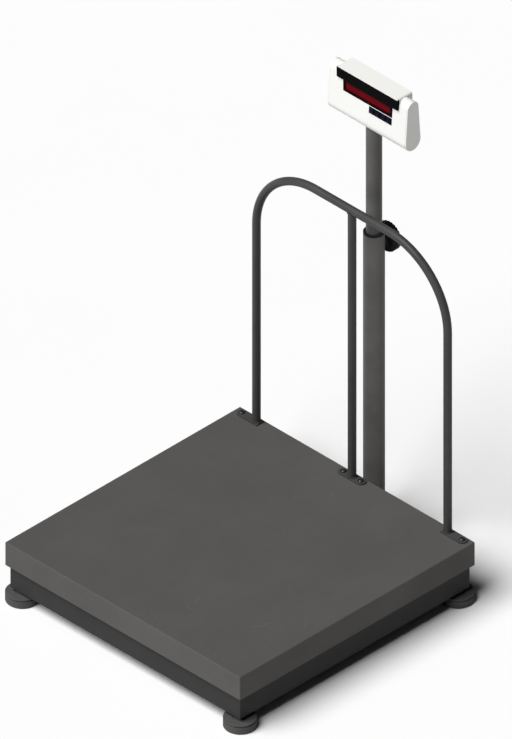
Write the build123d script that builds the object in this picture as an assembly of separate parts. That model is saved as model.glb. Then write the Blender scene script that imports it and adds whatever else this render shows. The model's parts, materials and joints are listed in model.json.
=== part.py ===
from build123d import *
from math import asin, cos, sin, tan
import os

# Animal weighing scale: a square platform on one load cell, a guard rail along its
# rear edge, and a telescopic pillar behind it that carries the indicator head.
# Millimetres, +Z up. The model is drawn about the middle of the platform, with the
# display facing -Y, and moved at the end so that the origin is under the middle of
# the whole thing, on the floor.

# ---- platform -----------------------------------------------------------------
PLATFORM_SIDE = 600.0
PLATFORM_HEIGHT = 127.0
PAN_SHEET = 2.0
PAN_SKIRT = 50.0
PAN_CORNER = 2.0
PAN_FIT = 1.0              # between the skirt and the frame that it drops over

# ---- frames -------------------------------------------------------------------
UPPER_TUBE = 25.0
BASE_TUBE_WIDTH = 30.0
BASE_INSET = 7.0           # of the base frame's outer face behind the skirt's
FRAME_GAP = 12.0           # between the base frame and the upper frame
TUBE_WALL = 2.0
BEAM_WIDTH = 60.0

# ---- load cell ----------------------------------------------------------------
CELL_LENGTH = 150.0
CELL_WIDTH = 40.0
CELL_HEIGHT = 38.0
CELL_BORE = 24.0
CELL_BORE_PITCH = 30.0
CELL_SLOT = 8.0
SPACER = 4.0
CELL_PAD_LENGTH = 48.0     # of each spacer along the cell
CELL_BOLT_PITCH = 24.0

# ---- feet ---------------------------------------------------------------------
FOOT_RADIUS = 31.0
FOOT_THICKNESS = 20.0
FOOT_NECK = 8.0            # from the top of the pad to the base frame
FOOT_CHAMFER = 2.0
FOOT_STUD_RADIUS = 6.0
FOOT_STUD_HEADROOM = 11.7  # over the stud, inside the base frame
FOOT_STUD_FLOOR = 6.0      # rubber left under the stud
FOOT_NUT_FLATS = 19.0
LOCK_NUT_HEIGHT = 6.0
WELD_NUT_HEIGHT = 10.0

# ---- overload stops -----------------------------------------------------------
STOP_FROM_CORNER = 90.0
STOP_RADIUS = 4.0
STOP_CLEARANCE = 1.0
STOP_NUT_FLATS = 13.0
STOP_NUT_HEIGHT = 6.5
STOP_DEPTH = 20.0

# ---- guard rail ---------------------------------------------------------------
RAIL_RADIUS = 8.0
RAIL_WALL = 1.5
RAIL_END_INSET = 56.0      # of each leg from the end of the pan
RAIL_RISE = 590.0          # pan to the centreline of the top bar
RAIL_BEND = 150.0
RAIL_INSET = 14.0          # of the rail's plane from the rear edge of the pan
RAIL_PLATE = 3.0
RAIL_PLATE_WIDTH = 20.0
RAIL_PLATE_REACH = 37.0    # leg to screw, at the ends
RAIL_CENTRE_REACH = 22.0   # post to screw, in the middle
RAIL_SCREW_RADIUS = 3.0
RAIL_SCREW_LENGTH = 18.0
RAIL_SCREW_HEAD = 6.0
RAIL_SCREW_DOME = 3.6
RAIL_INSERT_WALL = 1.4
RAIL_INSERT_LENGTH = 10.0

# ---- pillar -------------------------------------------------------------------
PILLAR_SETBACK = 42.0      # of the pillar's axis behind the pan
PILLAR_RADIUS = 20.0
PILLAR_WALL = 2.0
PILLAR_RISE = 517.0        # pan to the top of the pillar
BUSH_FLANGE = 3.0
BUSH_LENGTH = 20.0
INNER_RADIUS = 15.0
INNER_WALL = 1.5
INNER_ENGAGED = 204.0      # length of inner tube inside the pillar
GLIDE_LENGTH = 25.0

# ---- pillar bracket -----------------------------------------------------------
BRACKET_WIDTH = 116.0
BRACKET_SHEET = 4.0
BRACKET_UNDER_SKIRT = 1.0  # between the pan's skirt and the bracket
BRACKET_LIFT = 2.0         # of its tray over the underside of the base frame
BRACKET_LIP = 5.0          # height of the gussets at the rear
BRACKET_BOLT_INSET = 14.0
BRACKET_BOLT_SHARE = 0.52  # of the height over the tray, between the two rows of bolts
FLANGE_WIDTH = 80.0
FLANGE_DEPTH = 70.0
FLANGE_SHEET = 6.0
FLANGE_BOLT_INSET = 11.0
M8_RADIUS = 4.0
M8_FLATS = 13.0
M8_HEAD = 5.3
M8_NUT = 6.5
BOLT_TAIL = 2.0            # of a bolt beyond its nut
CABLE_HOLE = 8.0
CABLE_BORE = 4.0
GROMMET_LIP = 2.5          # wider than the hole
GROMMET_LIP_SHEET = 1.5

# ---- clamp --------------------------------------------------------------------
CLAMP_DROP = 29.0          # below the top of the pillar
CLAMP_BOSS_RADIUS = 9.0
CLAMP_BOSS_REACH = 6.4     # out of the pillar's wall
CLAMP_SCREW_RADIUS = 4.0
CLAMP_PAD_LENGTH = 6.5
KNOB_GAP = 0.6             # between the boss and the knob
KNOB_RADIUS = 29.25
KNOB_THICKNESS = 15.0
KNOB_FLUTES = 24
KNOB_FLUTE_RADIUS = 2.6
KNOB_INSERT = 11.0         # depth of the screw in the knob

# ---- head ---------------------------------------------------------------------
HEAD_RISE = 744.5          # pan to the lowest line of the head
HEAD_LENGTH = 200.0
HEAD_HEIGHT = 105.5
HEAD_LOWER_RADIUS = 19.0
HEAD_UPPER_RADIUS = 14.0
HEAD_WALL = 3.0
HEAD_CAP = 3.0
HEAD_CAP_LIP = 4.0
HEAD_SPLIT = 7.0           # of the seam behind the pillar's axis
VISOR_LENGTH = 156.0
VISOR_FRONT = 18.0         # before the pillar's axis
VISOR_REAR = 20.0          # behind it
VISOR_RISE = 3.0           # over the head
VISOR_CORNER = 5.0
REAR_BOX_DROP = 72.0       # of the rear housing's floor below the visor's top
BEZEL_HEIGHT = 22.3
BEZEL_ROOF = 1.7           # white lip over the bezel
BEZEL_BACK = 13.0          # of the bezel's rear face before the axis
WINDOW_HALF = 62.0
WINDOW_DROP = 24.0         # lower part of the bezel
WINDOW_FRONT = 17.0
WINDOW_RIM = 4.5
WINDOW_SHEET = 2.0
WINDOW_LAND = 1.5

# ---- keypad -------------------------------------------------------------------
KEYPAD_START = 4.0
KEYPAD_LENGTH = 58.0
KEYPAD_HEIGHT = 14.0
KEYPAD_SHEET = 2.0
KEYPAD_PROUD = 0.5
KEYPAD_BELOW_WINDOW = 2.0
KEY_NAMES = ["power_key", "zero_key", "tare_key", "hold_key"]
KEYPAD_LEDGE = 0.75        # of the shell, that the keypad frame sits on
KEYPAD_STAND = 1.5
KEY_LENGTH = 10.6
KEY_HEIGHT = 9.4
KEY_PROUD = 1.4            # over the keypad frame
KEY_CLEARANCE = 0.4
KEY_FLANGE = 0.8
KEY_TRAVEL = 0.8
SWITCH_SIDE = 6.0
SWITCH_HEIGHT = 2.0

# ---- head internals -----------------------------------------------------------
BOARD = 1.6
DISPLAY_BOARD_HALF = 74.0
DISPLAY_BOARD_HEIGHT = 46.0
DIGIT_COUNT = 6
DIGIT_WIDTH = 15.0
DIGIT_HEIGHT = 16.0
DIGIT_PITCH = 17.0
DIGIT_GAP = 0.8            # behind the window
DIGIT_DEPTH = 7.0
POST_RADIUS = 3.0
MAIN_BOARD_START = 20.0
MAIN_BOARD_LENGTH = 54.0
MAIN_BOARD_HEIGHT = 50.0
MAIN_BOARD_DEPTH = 15.0    # before the rear wall of the housing
BATTERY_LENGTH = 50.0
BATTERY_HEIGHT = 34.0
BATTERY_DEPTH = 11.0
BATTERY_START = -72.0
DOOR_SHEET = 2.0
DOOR_MARGIN = 3.0
SWIVEL_RADIUS = 10.0
SWIVEL_BORE = 6.0
SOCKET_WALL = 4.4
SOCKET_LENGTH = 22.0
SOCKET_PLATE = 4.0
SOCKET_PLATE_LENGTH = 72.0
SOCKET_PLATE_HALF_DEPTH = 13.0
SOCKET_PLATE_LIFT = 4.0
SOCKET_RIB = 12.0
SWIVEL_NUT = 5.0
SWIVEL_NUT_RADIUS = 14.0
SPIGOT_PLUG = 25.0
HEAD_SCREW_RADIUS = 1.5
HEAD_SCREW_HEAD = 2.8
HEAD_SCREW_INSET = 12.0
HEAD_BOSS_RADIUS = 4.5
HEAD_RIB_BITE = 0.5
SCREW_TIP_GAP = 1.0

# ---- rear fittings ------------------------------------------------------------
FITTING_X = 50.0
ROCKER_BELOW_TOP = 26.0    # of its pivot under the visor's top
ROCKER_HALF_WIDTH = 5.0
ROCKER_HALF_HEIGHT = 7.8
ROCKER_THICKNESS = 6.0
ROCKER_ANGLE = 8.0
ROCKER_CASE_WALL = 1.2
ROCKER_CASE_DEPTH = 12.0
ROCKER_FLANGE = 1.0
ROCKER_PIN = 1.0
INLET_BELOW_TOP = 52.0
INLET_RADIUS = 5.0
INLET_BORE = 3.2
INLET_SHOULDER = 1.0       # of its inner end, wider than the hole
INLET_FLANGE = 7.0
INLET_DEPTH = 9.0

# ---- fits ---------------------------------------------------------------------
RUNNING_FIT = 0.08         # radial, a shaft in its bore
MOVING_GAP = 0.3           # faces of pieces that move past each other
BOLT_FIT = 0.3             # radial, a bolt in its hole
OVERCUT = 1.0              # of a drill past each side of a wall

# ---- levels and places that follow --------------------------------------------
HALF = PLATFORM_SIDE / 2
PAN_UNDERSIDE = PLATFORM_HEIGHT - PAN_SHEET
UPPER_BOTTOM = PAN_UNDERSIDE - UPPER_TUBE
UPPER_OUTER = HALF - PAN_SHEET - PAN_FIT
CELL_TOP = UPPER_BOTTOM - SPACER
CELL_BOTTOM = CELL_TOP - CELL_HEIGHT
BASE_BOTTOM = FOOT_THICKNESS + FOOT_NECK
BASE_TOP = UPPER_BOTTOM - FRAME_GAP
BASE_OUTER = HALF - BASE_INSET
BASE_BEAM_TOP = CELL_BOTTOM - SPACER
FOOT_PLACE = BASE_OUTER - BASE_TUBE_WIDTH / 2
FOOT_STUD_BOTTOM = FOOT_STUD_FLOOR + MOVING_GAP
FOOT_STUD_TOP = BASE_TOP - TUBE_WALL - FOOT_STUD_HEADROOM
BRACKET_TOP = PLATFORM_HEIGHT - PAN_SKIRT - BRACKET_UNDER_SKIRT
BRACKET_BOTTOM = BASE_BOTTOM + BRACKET_LIFT
BRACKET_TRAY = BRACKET_BOTTOM + BRACKET_SHEET
RAIL_Y = HALF - RAIL_INSET
RAIL_HALF_SPAN = HALF - RAIL_END_INSET
RAIL_BASE = PLATFORM_HEIGHT + RAIL_PLATE
RAIL_TOP = PLATFORM_HEIGHT + RAIL_RISE
PILLAR_Y = HALF + PILLAR_SETBACK
PILLAR_TOP = PLATFORM_HEIGHT + PILLAR_RISE
PILLAR_FOOT = BRACKET_TRAY + FLANGE_SHEET
PILLAR_BORE = PILLAR_RADIUS - PILLAR_WALL
CLAMP_Z = PILLAR_TOP - CLAMP_DROP
BOSS_FACE = PILLAR_Y + PILLAR_RADIUS + CLAMP_BOSS_REACH
KNOB_FACE = BOSS_FACE + KNOB_GAP
HEAD_BOTTOM = PLATFORM_HEIGHT + HEAD_RISE
LOWER_CENTRE = HEAD_BOTTOM + HEAD_LOWER_RADIUS
UPPER_CENTRE = HEAD_BOTTOM + HEAD_HEIGHT - HEAD_UPPER_RADIUS
LEAN = asin((HEAD_LOWER_RADIUS - HEAD_UPPER_RADIUS) / (UPPER_CENTRE - LOWER_CENTRE))
VISOR_TOP = HEAD_BOTTOM + HEAD_HEIGHT + VISOR_RISE
REAR_BOX_FLOOR = VISOR_TOP - REAR_BOX_DROP
BEZEL_TOP = VISOR_TOP - BEZEL_ROOF
BEZEL_STEP = BEZEL_TOP - BEZEL_HEIGHT
WINDOW_BOTTOM = BEZEL_STEP - WINDOW_DROP
HEAD_REAR = PILLAR_Y + VISOR_REAR
SEAM_Y = PILLAR_Y + HEAD_SPLIT
INNER_TOP = LOWER_CENTRE - HEAD_LOWER_RADIUS / 2
ROCKER_Z = VISOR_TOP - ROCKER_BELOW_TOP
INLET_Z = VISOR_TOP - INLET_BELOW_TOP

REAR_REACH = max(KNOB_FACE + KNOB_THICKNESS, PILLAR_Y + FLANGE_DEPTH / 2)
FRONT_REACH = max(FOOT_PLACE + FOOT_RADIUS, HALF)
SHIFT = (FRONT_REACH - REAR_REACH) / 2

CORNERS = [(-1, -1), (1, -1), (-1, 1), (1, 1)]
CORNER_NAMES = ["front_left", "front_right", "rear_left", "rear_right"]
UP = (0, 0, 1)
DOWN = (0, 0, -1)
FORWARD = (0, -1, 0)
REARWARD = (0, 1, 0)
ON_BASE = (Align.CENTER, Align.CENTER, Align.MIN)


# ---- shapes used all over ------------------------------------------------------
def block(x0, x1, y0, y1, z0, z1):
    """A block between two opposite corners."""
    centre = Pos((x0 + x1) / 2, (y0 + y1) / 2, (z0 + z1) / 2)
    return centre * Box(abs(x1 - x0), abs(y1 - y0), abs(z1 - z0))


def rod(radius, start, direction, length):
    """A round bar."""
    return Plane(origin=start, z_dir=direction) * Cylinder(radius, length, align=ON_BASE)


def drill(radius, start, direction, depth):
    """A hole's cutter, which runs past both faces of the wall."""
    before = Plane(origin=start, z_dir=direction) * Pos(0, 0, -OVERCUT)
    return before * Cylinder(radius, depth + 2 * OVERCUT, align=ON_BASE)


def ring(outer, inner, start, direction, length):
    """A round tube or washer."""
    return rod(outer, start, direction, length) - rod(inner, start, direction, length)


def nut(flats, bore, start, direction, height):
    """A hexagon nut."""
    section = RegularPolygon(flats / 2, 6, major_radius=False) - Circle(bore)
    return extrude(Plane(origin=start, z_dir=direction) * section, height)


def hex_bolt(seat, direction, radius, length, flats, head):
    """A bolt whose head sits on seat and whose shank runs along direction."""
    plane = Plane(origin=seat, z_dir=direction)
    head_solid = extrude(RegularPolygon(flats / 2, 6, major_radius=False), -head)
    return plane * (Cylinder(radius, length, align=ON_BASE) + head_solid)


def group(pieces):
    """Separate solids that share one node."""
    return Compound([solid for piece in pieces for solid in piece.solids()])


def mitred_square(outer, width, bottom, top):
    """Four tubes, mitred at the corners, around a square."""
    inner = outer - width
    height = top - bottom
    outline = Polygon((inner, -inner), (outer, -outer), (outer, outer), (inner, inner), align=None)
    near = inner + TUBE_WALL
    far = outer - TUBE_WALL
    bore = Polygon((near, -near - width), (far, -far - width), (far, far + width),
                   (near, near + width), align=None)
    side = extrude(outline, height)
    side -= Pos(0, 0, TUBE_WALL) * extrude(bore, height - 2 * TUBE_WALL)
    return [Pos(0, 0, bottom) * Rot(0, 0, turn * 90) * side for turn in range(4)]


def hollow_beam(reach, bottom, top):
    """A flat tube across a frame, open at its ends, which the frame closes."""
    half = BEAM_WIDTH / 2
    beam = block(-reach, reach, -half, half, bottom, top)
    core = half - TUBE_WALL
    return beam - block(-reach, reach, -core, core, bottom + TUBE_WALL, top - TUBE_WALL)


# ---- platform and frames -------------------------------------------------------
def rail_screw_places():
    """Where the rail's foot plates are screwed down."""
    outer = RAIL_HALF_SPAN + RAIL_PLATE_REACH
    return [-outer, -RAIL_CENTRE_REACH, RAIL_CENTRE_REACH, outer]


def rail_screw_holes():
    radius = RAIL_SCREW_RADIUS + BOLT_FIT
    depth = RAIL_PLATE + PAN_SHEET + UPPER_TUBE / 2
    return [rod(radius, (x, RAIL_Y, RAIL_BASE), DOWN, depth) for x in rail_screw_places()]


def platform_pan():
    pan = block(-HALF, HALF, -HALF, HALF, PLATFORM_HEIGHT - PAN_SKIRT, PLATFORM_HEIGHT)
    sharp = pan.edges().filter_by(Axis.Z) + pan.faces().sort_by(Axis.Z)[-1].edges()
    pan = fillet(sharp, PAN_CORNER)
    inside = HALF - PAN_SHEET
    pan -= block(-inside, inside, -inside, inside, PLATFORM_HEIGHT - PAN_SKIRT, PAN_UNDERSIDE)
    return pan - rail_screw_holes()


def cell_bolt_places(side):
    """The two bolts at one end of the load cell; side is -1 or 1."""
    middle = side * (CELL_LENGTH - CELL_PAD_LENGTH) / 2
    return [(middle - CELL_BOLT_PITCH / 2, 0), (middle + CELL_BOLT_PITCH / 2, 0)]


def beam_holes(side, seat, direction, beam):
    """Bolt holes through a beam, with room for each head inside it."""
    far = beam + 2 * SPACER
    holes = []
    for x, y in cell_bolt_places(side):
        holes.append(rod(M8_RADIUS + BOLT_FIT, (x, y, seat), direction, far))
        behind = tuple(-part for part in direction)
        holes.append(rod(M8_FLATS * 0.62, (x, y, seat), behind, beam))
    return holes


def upper_frame():
    tubes = mitred_square(UPPER_OUTER, UPPER_TUBE, UPPER_BOTTOM, PAN_UNDERSIDE)
    beam = hollow_beam(UPPER_OUTER - UPPER_TUBE, UPPER_BOTTOM, PAN_UNDERSIDE)
    beam -= beam_holes(1, UPPER_BOTTOM + TUBE_WALL, DOWN, UPPER_TUBE)
    holes = rail_screw_holes()
    return group([tube - holes for tube in tubes] + [beam])


def foot_places():
    return [(sx * FOOT_PLACE, sy * FOOT_PLACE) for sx, sy in CORNERS]


def stop_places():
    along = HALF - STOP_FROM_CORNER
    return [(sx * FOOT_PLACE, sy * along) for sx, sy in CORNERS]


def bracket_bolt_places():
    middle = (BRACKET_TOP + BRACKET_TRAY) / 2
    spread = BRACKET_WIDTH / 2 - BRACKET_BOLT_INSET
    drop = BRACKET_BOLT_SHARE * (BRACKET_TOP - BRACKET_TRAY) / 2
    return [(sx * spread, middle + sz * drop) for sx, sz in CORNERS]


def cable_hole_height():
    return (BRACKET_TOP + BRACKET_TRAY) / 2


def base_frame():
    holes = []
    for x, y in foot_places():
        holes.append(drill(FOOT_STUD_RADIUS + BOLT_FIT, (x, y, BASE_BOTTOM), UP, TUBE_WALL))
    for x, y in stop_places():
        holes.append(drill(STOP_RADIUS + BOLT_FIT, (x, y, BASE_TOP), DOWN, TUBE_WALL))
    for x, z in bracket_bolt_places():
        holes.append(drill(M8_RADIUS + BOLT_FIT, (x, BASE_OUTER, z), FORWARD, TUBE_WALL))
    cable = (0, BASE_OUTER, cable_hole_height())
    holes.append(drill(CABLE_HOLE, cable, FORWARD, TUBE_WALL))
    tubes = mitred_square(BASE_OUTER, BASE_TUBE_WIDTH, BASE_BOTTOM, BASE_TOP)
    beam = hollow_beam(BASE_OUTER - BASE_TUBE_WIDTH, BASE_BOTTOM, BASE_BEAM_TOP)
    seat = BASE_BEAM_TOP - TUBE_WALL
    beam -= beam_holes(-1, seat, UP, BASE_BEAM_TOP - BASE_BOTTOM)
    return group([tube - holes for tube in tubes] + [beam])


# ---- load cell -----------------------------------------------------------------
def load_cell():
    """A single-point beam cell, with the two joined bores that let it bend."""
    half = CELL_LENGTH / 2
    width = CELL_WIDTH / 2
    middle = (CELL_TOP + CELL_BOTTOM) / 2
    cell = block(-half, half, -width, width, CELL_BOTTOM, CELL_TOP)
    for side in (-1, 1):
        centre = (side * CELL_BORE_PITCH / 2, -width, middle)
        cell -= rod(CELL_BORE / 2, centre, REARWARD, CELL_WIDTH)
    reach = CELL_BORE_PITCH / 2
    slot = CELL_SLOT / 2
    cell -= block(-reach, reach, -width, width, middle - slot, middle + slot)
    for x, y in cell_bolt_places(-1):
        cell -= rod(M8_RADIUS + BOLT_FIT, (x, y, CELL_BOTTOM), UP, CELL_HEIGHT / 2)
    for x, y in cell_bolt_places(1):
        cell -= rod(M8_RADIUS + BOLT_FIT, (x, y, CELL_TOP), DOWN, CELL_HEIGHT / 2)
    return cell


def load_cell_spacers():
    plates = []
    for side, low in ((-1, BASE_BEAM_TOP), (1, CELL_TOP)):
        inner = CELL_LENGTH / 2 - CELL_PAD_LENGTH
        outer = CELL_LENGTH / 2
        width = CELL_WIDTH / 2
        plate = block(side * inner, side * outer, -width, width, low, low + SPACER)
        for x, y in cell_bolt_places(side):
            plate -= rod(M8_RADIUS + BOLT_FIT, (x, y, low), UP, SPACER)
        plates.append(plate)
    return group(plates)


def load_cell_bolts():
    """Bolts whose heads lie inside the hollow beams."""
    reach = TUBE_WALL + SPACER + CELL_HEIGHT / 2 - 2 * BOLT_FIT
    bolts = []
    for x, y in cell_bolt_places(-1):
        seat = (x, y, BASE_BEAM_TOP - TUBE_WALL)
        bolts.append(hex_bolt(seat, UP, M8_RADIUS, reach, M8_FLATS, M8_HEAD))
    for x, y in cell_bolt_places(1):
        seat = (x, y, UPPER_BOTTOM + TUBE_WALL)
        bolts.append(hex_bolt(seat, DOWN, M8_RADIUS, reach, M8_FLATS, M8_HEAD))
    return group(bolts)


def overload_stops():
    """Studs that stop the upper frame before the load cell is overloaded, with nuts."""
    pieces = []
    top = UPPER_BOTTOM - STOP_CLEARANCE
    for x, y in stop_places():
        stud = rod(STOP_RADIUS, (x, y, BASE_TOP - STOP_DEPTH), UP, top - BASE_TOP + STOP_DEPTH)
        pieces.append(chamfer(stud.edges().sort_by(Axis.Z)[-1], STOP_RADIUS / 4))
        bore = STOP_RADIUS + RUNNING_FIT
        pieces.append(nut(STOP_NUT_FLATS, bore, (x, y, BASE_TOP), UP, STOP_NUT_HEIGHT))
        below = (x, y, BASE_TOP - TUBE_WALL)
        pieces.append(nut(STOP_NUT_FLATS, bore, below, DOWN, STOP_NUT_HEIGHT))
    return group(pieces)


# ---- feet ----------------------------------------------------------------------
def foot_pad(x, y):
    pad = rod(FOOT_RADIUS, (x, y, 0), UP, FOOT_THICKNESS)
    rims = pad.edges().sort_by(Axis.Z)
    pad = chamfer([rims[0], rims[-1]], FOOT_CHAMFER)
    well = FOOT_THICKNESS - FOOT_STUD_FLOOR
    bore = FOOT_STUD_RADIUS + RUNNING_FIT
    return pad - rod(bore, (x, y, FOOT_STUD_FLOOR), UP, well)


def foot_stud(x, y):
    length = FOOT_STUD_TOP - FOOT_STUD_BOTTOM
    return rod(FOOT_STUD_RADIUS, (x, y, FOOT_STUD_BOTTOM), UP, length)


def feet():
    """A pad and a threaded stud at each corner."""
    pieces = {}
    for name, (x, y) in zip(CORNER_NAMES, foot_places()):
        pieces[f"foot_pad_{name}"] = foot_pad(x, y)
        pieces[f"foot_stud_{name}"] = foot_stud(x, y)
    bore = FOOT_STUD_RADIUS + RUNNING_FIT
    lock = [nut(FOOT_NUT_FLATS, bore, (x, y, BASE_BOTTOM), DOWN, LOCK_NUT_HEIGHT)
            for x, y in foot_places()]
    weld = [nut(FOOT_NUT_FLATS, bore, (x, y, BASE_BOTTOM + TUBE_WALL), UP, WELD_NUT_HEIGHT)
            for x, y in foot_places()]
    pieces["foot_lock_nuts"] = group(lock)
    pieces["foot_weld_nuts"] = group(weld)
    return pieces


# ---- guard rail ----------------------------------------------------------------
def rail_hoop():
    """One tube bent into a hoop that stands on the pan's rear edge."""
    side = RAIL_HALF_SPAN
    path = FilletPolyline((-side, RAIL_BASE), (-side, RAIL_TOP), (side, RAIL_TOP),
                          (side, RAIL_BASE), radius=RAIL_BEND)
    path = Plane(origin=(0, RAIL_Y, 0), x_dir=(1, 0, 0), z_dir=FORWARD) * path
    foot = Plane(origin=(-side, RAIL_Y, RAIL_BASE), z_dir=UP)
    outer = sweep(foot * Circle(RAIL_RADIUS), path=path)
    return outer - sweep(foot * Circle(RAIL_RADIUS - RAIL_WALL), path=path)


def rail_centre_post():
    """The upright, coped to the top bar that it is welded to."""
    length = RAIL_TOP - RAIL_BASE
    post = ring(RAIL_RADIUS, RAIL_RADIUS - RAIL_WALL, (0, RAIL_Y, RAIL_BASE), UP, length)
    start = (-2 * RAIL_RADIUS, RAIL_Y, RAIL_TOP)
    return post - rod(RAIL_RADIUS, start, (1, 0, 0), 4 * RAIL_RADIUS)


def rail_foot_plates():
    """Plates with round ends, which the rail's three legs are welded to."""
    radius = RAIL_PLATE_WIDTH / 2
    outer = RAIL_HALF_SPAN + RAIL_PLATE_REACH
    heel = RAIL_HALF_SPAN - radius
    plates = []
    for side in (-1, 1):
        plate = block(side * heel, side * outer, RAIL_Y - radius, RAIL_Y + radius,
                      PLATFORM_HEIGHT, RAIL_BASE)
        plates.append(plate + rod(radius, (side * outer, RAIL_Y, PLATFORM_HEIGHT), UP, RAIL_PLATE))
    centre = block(-RAIL_CENTRE_REACH, RAIL_CENTRE_REACH, RAIL_Y - radius, RAIL_Y + radius,
                   PLATFORM_HEIGHT, RAIL_BASE)
    for x in (-RAIL_CENTRE_REACH, RAIL_CENTRE_REACH):
        centre += rod(radius, (x, RAIL_Y, PLATFORM_HEIGHT), UP, RAIL_PLATE)
    plates.append(centre)
    holes = rail_screw_holes()
    return group([plate - holes for plate in plates])


def rail_screws():
    """Round-headed screws through the plates and the pan."""
    screws = []
    for x in rail_screw_places():
        shank = rod(RAIL_SCREW_RADIUS, (x, RAIL_Y, RAIL_BASE), DOWN, RAIL_SCREW_LENGTH)
        head = rod(RAIL_SCREW_HEAD, (x, RAIL_Y, RAIL_BASE), UP, RAIL_SCREW_DOME)
        head = fillet(head.edges().sort_by(Axis.Z)[-1], RAIL_SCREW_DOME * 0.7)
        screws.append(shank + head)
    return group(screws)


def rail_inserts():
    """Threaded inserts under the top wall of the upper frame's rear tube."""
    bore = RAIL_SCREW_RADIUS + RUNNING_FIT
    outer = bore + RAIL_INSERT_WALL
    top = PAN_UNDERSIDE - TUBE_WALL
    return group([ring(outer, bore, (x, RAIL_Y, top), DOWN, RAIL_INSERT_LENGTH)
                  for x in rail_screw_places()])


# ---- pillar bracket ------------------------------------------------------------
def pillar_bracket():
    """A folded and welded tray, bolted to the rear of the base frame."""
    half = BRACKET_WIDTH / 2
    rear = PILLAR_Y + FLANGE_DEPTH / 2
    front = BASE_OUTER
    bracket = block(-half, half, front, front + BRACKET_SHEET, BRACKET_BOTTOM, BRACKET_TOP)
    bracket += block(-half, half, front, rear, BRACKET_BOTTOM, BRACKET_TRAY)
    side = Plane(origin=(-half, 0, 0), x_dir=REARWARD, z_dir=(1, 0, 0))
    cheek = Polygon((front, BRACKET_BOTTOM), (rear, BRACKET_BOTTOM),
                    (rear, BRACKET_TRAY + BRACKET_LIP), (front + BRACKET_SHEET, BRACKET_TOP),
                    (front, BRACKET_TOP), align=None)
    cheek = extrude(side * cheek, BRACKET_SHEET)
    bracket += cheek
    bracket += Pos(BRACKET_WIDTH - BRACKET_SHEET, 0, 0) * cheek
    hole = M8_RADIUS + BOLT_FIT
    for x, z in bracket_bolt_places():
        bracket -= drill(hole, (x, front, z), REARWARD, BRACKET_SHEET)
    for x, y in flange_bolt_places():
        bracket -= drill(hole, (x, y, BRACKET_BOTTOM), UP, BRACKET_SHEET)
    bracket -= drill(CABLE_HOLE, (0, front, cable_hole_height()), REARWARD, BRACKET_SHEET)
    return bracket


def bracket_bolts():
    length = BRACKET_SHEET + TUBE_WALL + 2 * M8_RADIUS
    seat_y = BASE_OUTER + BRACKET_SHEET
    return group([hex_bolt((x, seat_y, z), FORWARD, M8_RADIUS, length, M8_FLATS, M8_HEAD)
                  for x, z in bracket_bolt_places()])


def bracket_inserts():
    """Threaded inserts behind the rear wall of the base frame."""
    bore = M8_RADIUS + RUNNING_FIT
    wall = BASE_OUTER - TUBE_WALL
    return group([ring(bore + RAIL_INSERT_WALL, bore, (x, wall, z), FORWARD, 2 * M8_RADIUS)
                  for x, z in bracket_bolt_places()])


def cable_grommet():
    """A rubber ring that lines the cable's hole through bracket and frame."""
    centre = (0, BASE_OUTER - TUBE_WALL, cable_hole_height())
    through = TUBE_WALL + BRACKET_SHEET
    grommet = ring(CABLE_HOLE, CABLE_BORE, centre, REARWARD, through)
    lip = CABLE_HOLE + GROMMET_LIP
    for y, way in ((centre[1], FORWARD), (centre[1] + through, REARWARD)):
        grommet += ring(lip, CABLE_BORE, (0, y, centre[2]), way, GROMMET_LIP_SHEET)
    return grommet


# ---- pillar --------------------------------------------------------------------
def flange_bolt_places():
    spread = FLANGE_WIDTH / 2 - FLANGE_BOLT_INSET
    depth = FLANGE_DEPTH / 2 - FLANGE_BOLT_INSET
    return [(sx * spread, PILLAR_Y + sy * depth) for sx, sy in CORNERS]


def pillar_base_flange():
    bottom = PILLAR_FOOT - FLANGE_SHEET
    half = FLANGE_WIDTH / 2
    depth = FLANGE_DEPTH / 2
    flange = block(-half, half, PILLAR_Y - depth, PILLAR_Y + depth, bottom, PILLAR_FOOT)
    flange -= drill(CABLE_HOLE, (0, PILLAR_Y, bottom), UP, FLANGE_SHEET)
    for x, y in flange_bolt_places():
        flange -= drill(M8_RADIUS + BOLT_FIT, (x, y, bottom), UP, FLANGE_SHEET)
    return flange


def pillar_base_bolts():
    """Bolts down through the flange and the tray, with their nuts below."""
    length = FLANGE_SHEET + BRACKET_SHEET + M8_NUT + BOLT_TAIL
    pieces = []
    for x, y in flange_bolt_places():
        seat = (x, y, PILLAR_FOOT)
        pieces.append(hex_bolt(seat, DOWN, M8_RADIUS, length, M8_FLATS, M8_HEAD))
        under = (x, y, BRACKET_BOTTOM)
        pieces.append(nut(M8_FLATS, M8_RADIUS + RUNNING_FIT, under, DOWN, M8_NUT))
    return group(pieces)


def pillar_outer_tube():
    top = PILLAR_TOP - BUSH_FLANGE
    foot = (0, PILLAR_Y, PILLAR_FOOT)
    tube = ring(PILLAR_RADIUS, PILLAR_BORE, foot, UP, top - PILLAR_FOOT)
    hole = CLAMP_SCREW_RADIUS + RUNNING_FIT
    tube -= rod(hole, (0, PILLAR_Y, CLAMP_Z), REARWARD, PILLAR_RADIUS)
    slot = block(-CABLE_HOLE / 2, CABLE_HOLE / 2, PILLAR_Y - PILLAR_RADIUS, PILLAR_Y,
                 PILLAR_FOOT, PILLAR_FOOT + 2 * CABLE_HOLE)
    return tube - slot


def pillar_guide_bush():
    """The plastic ring at the pillar's top that the inner tube runs in."""
    bore = INNER_RADIUS + RUNNING_FIT
    seat = PILLAR_TOP - BUSH_FLANGE
    bush = ring(PILLAR_BORE, bore, (0, PILLAR_Y, seat - BUSH_LENGTH), UP, BUSH_LENGTH)
    return bush + ring(PILLAR_RADIUS, bore, (0, PILLAR_Y, seat), UP, BUSH_FLANGE)


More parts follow.
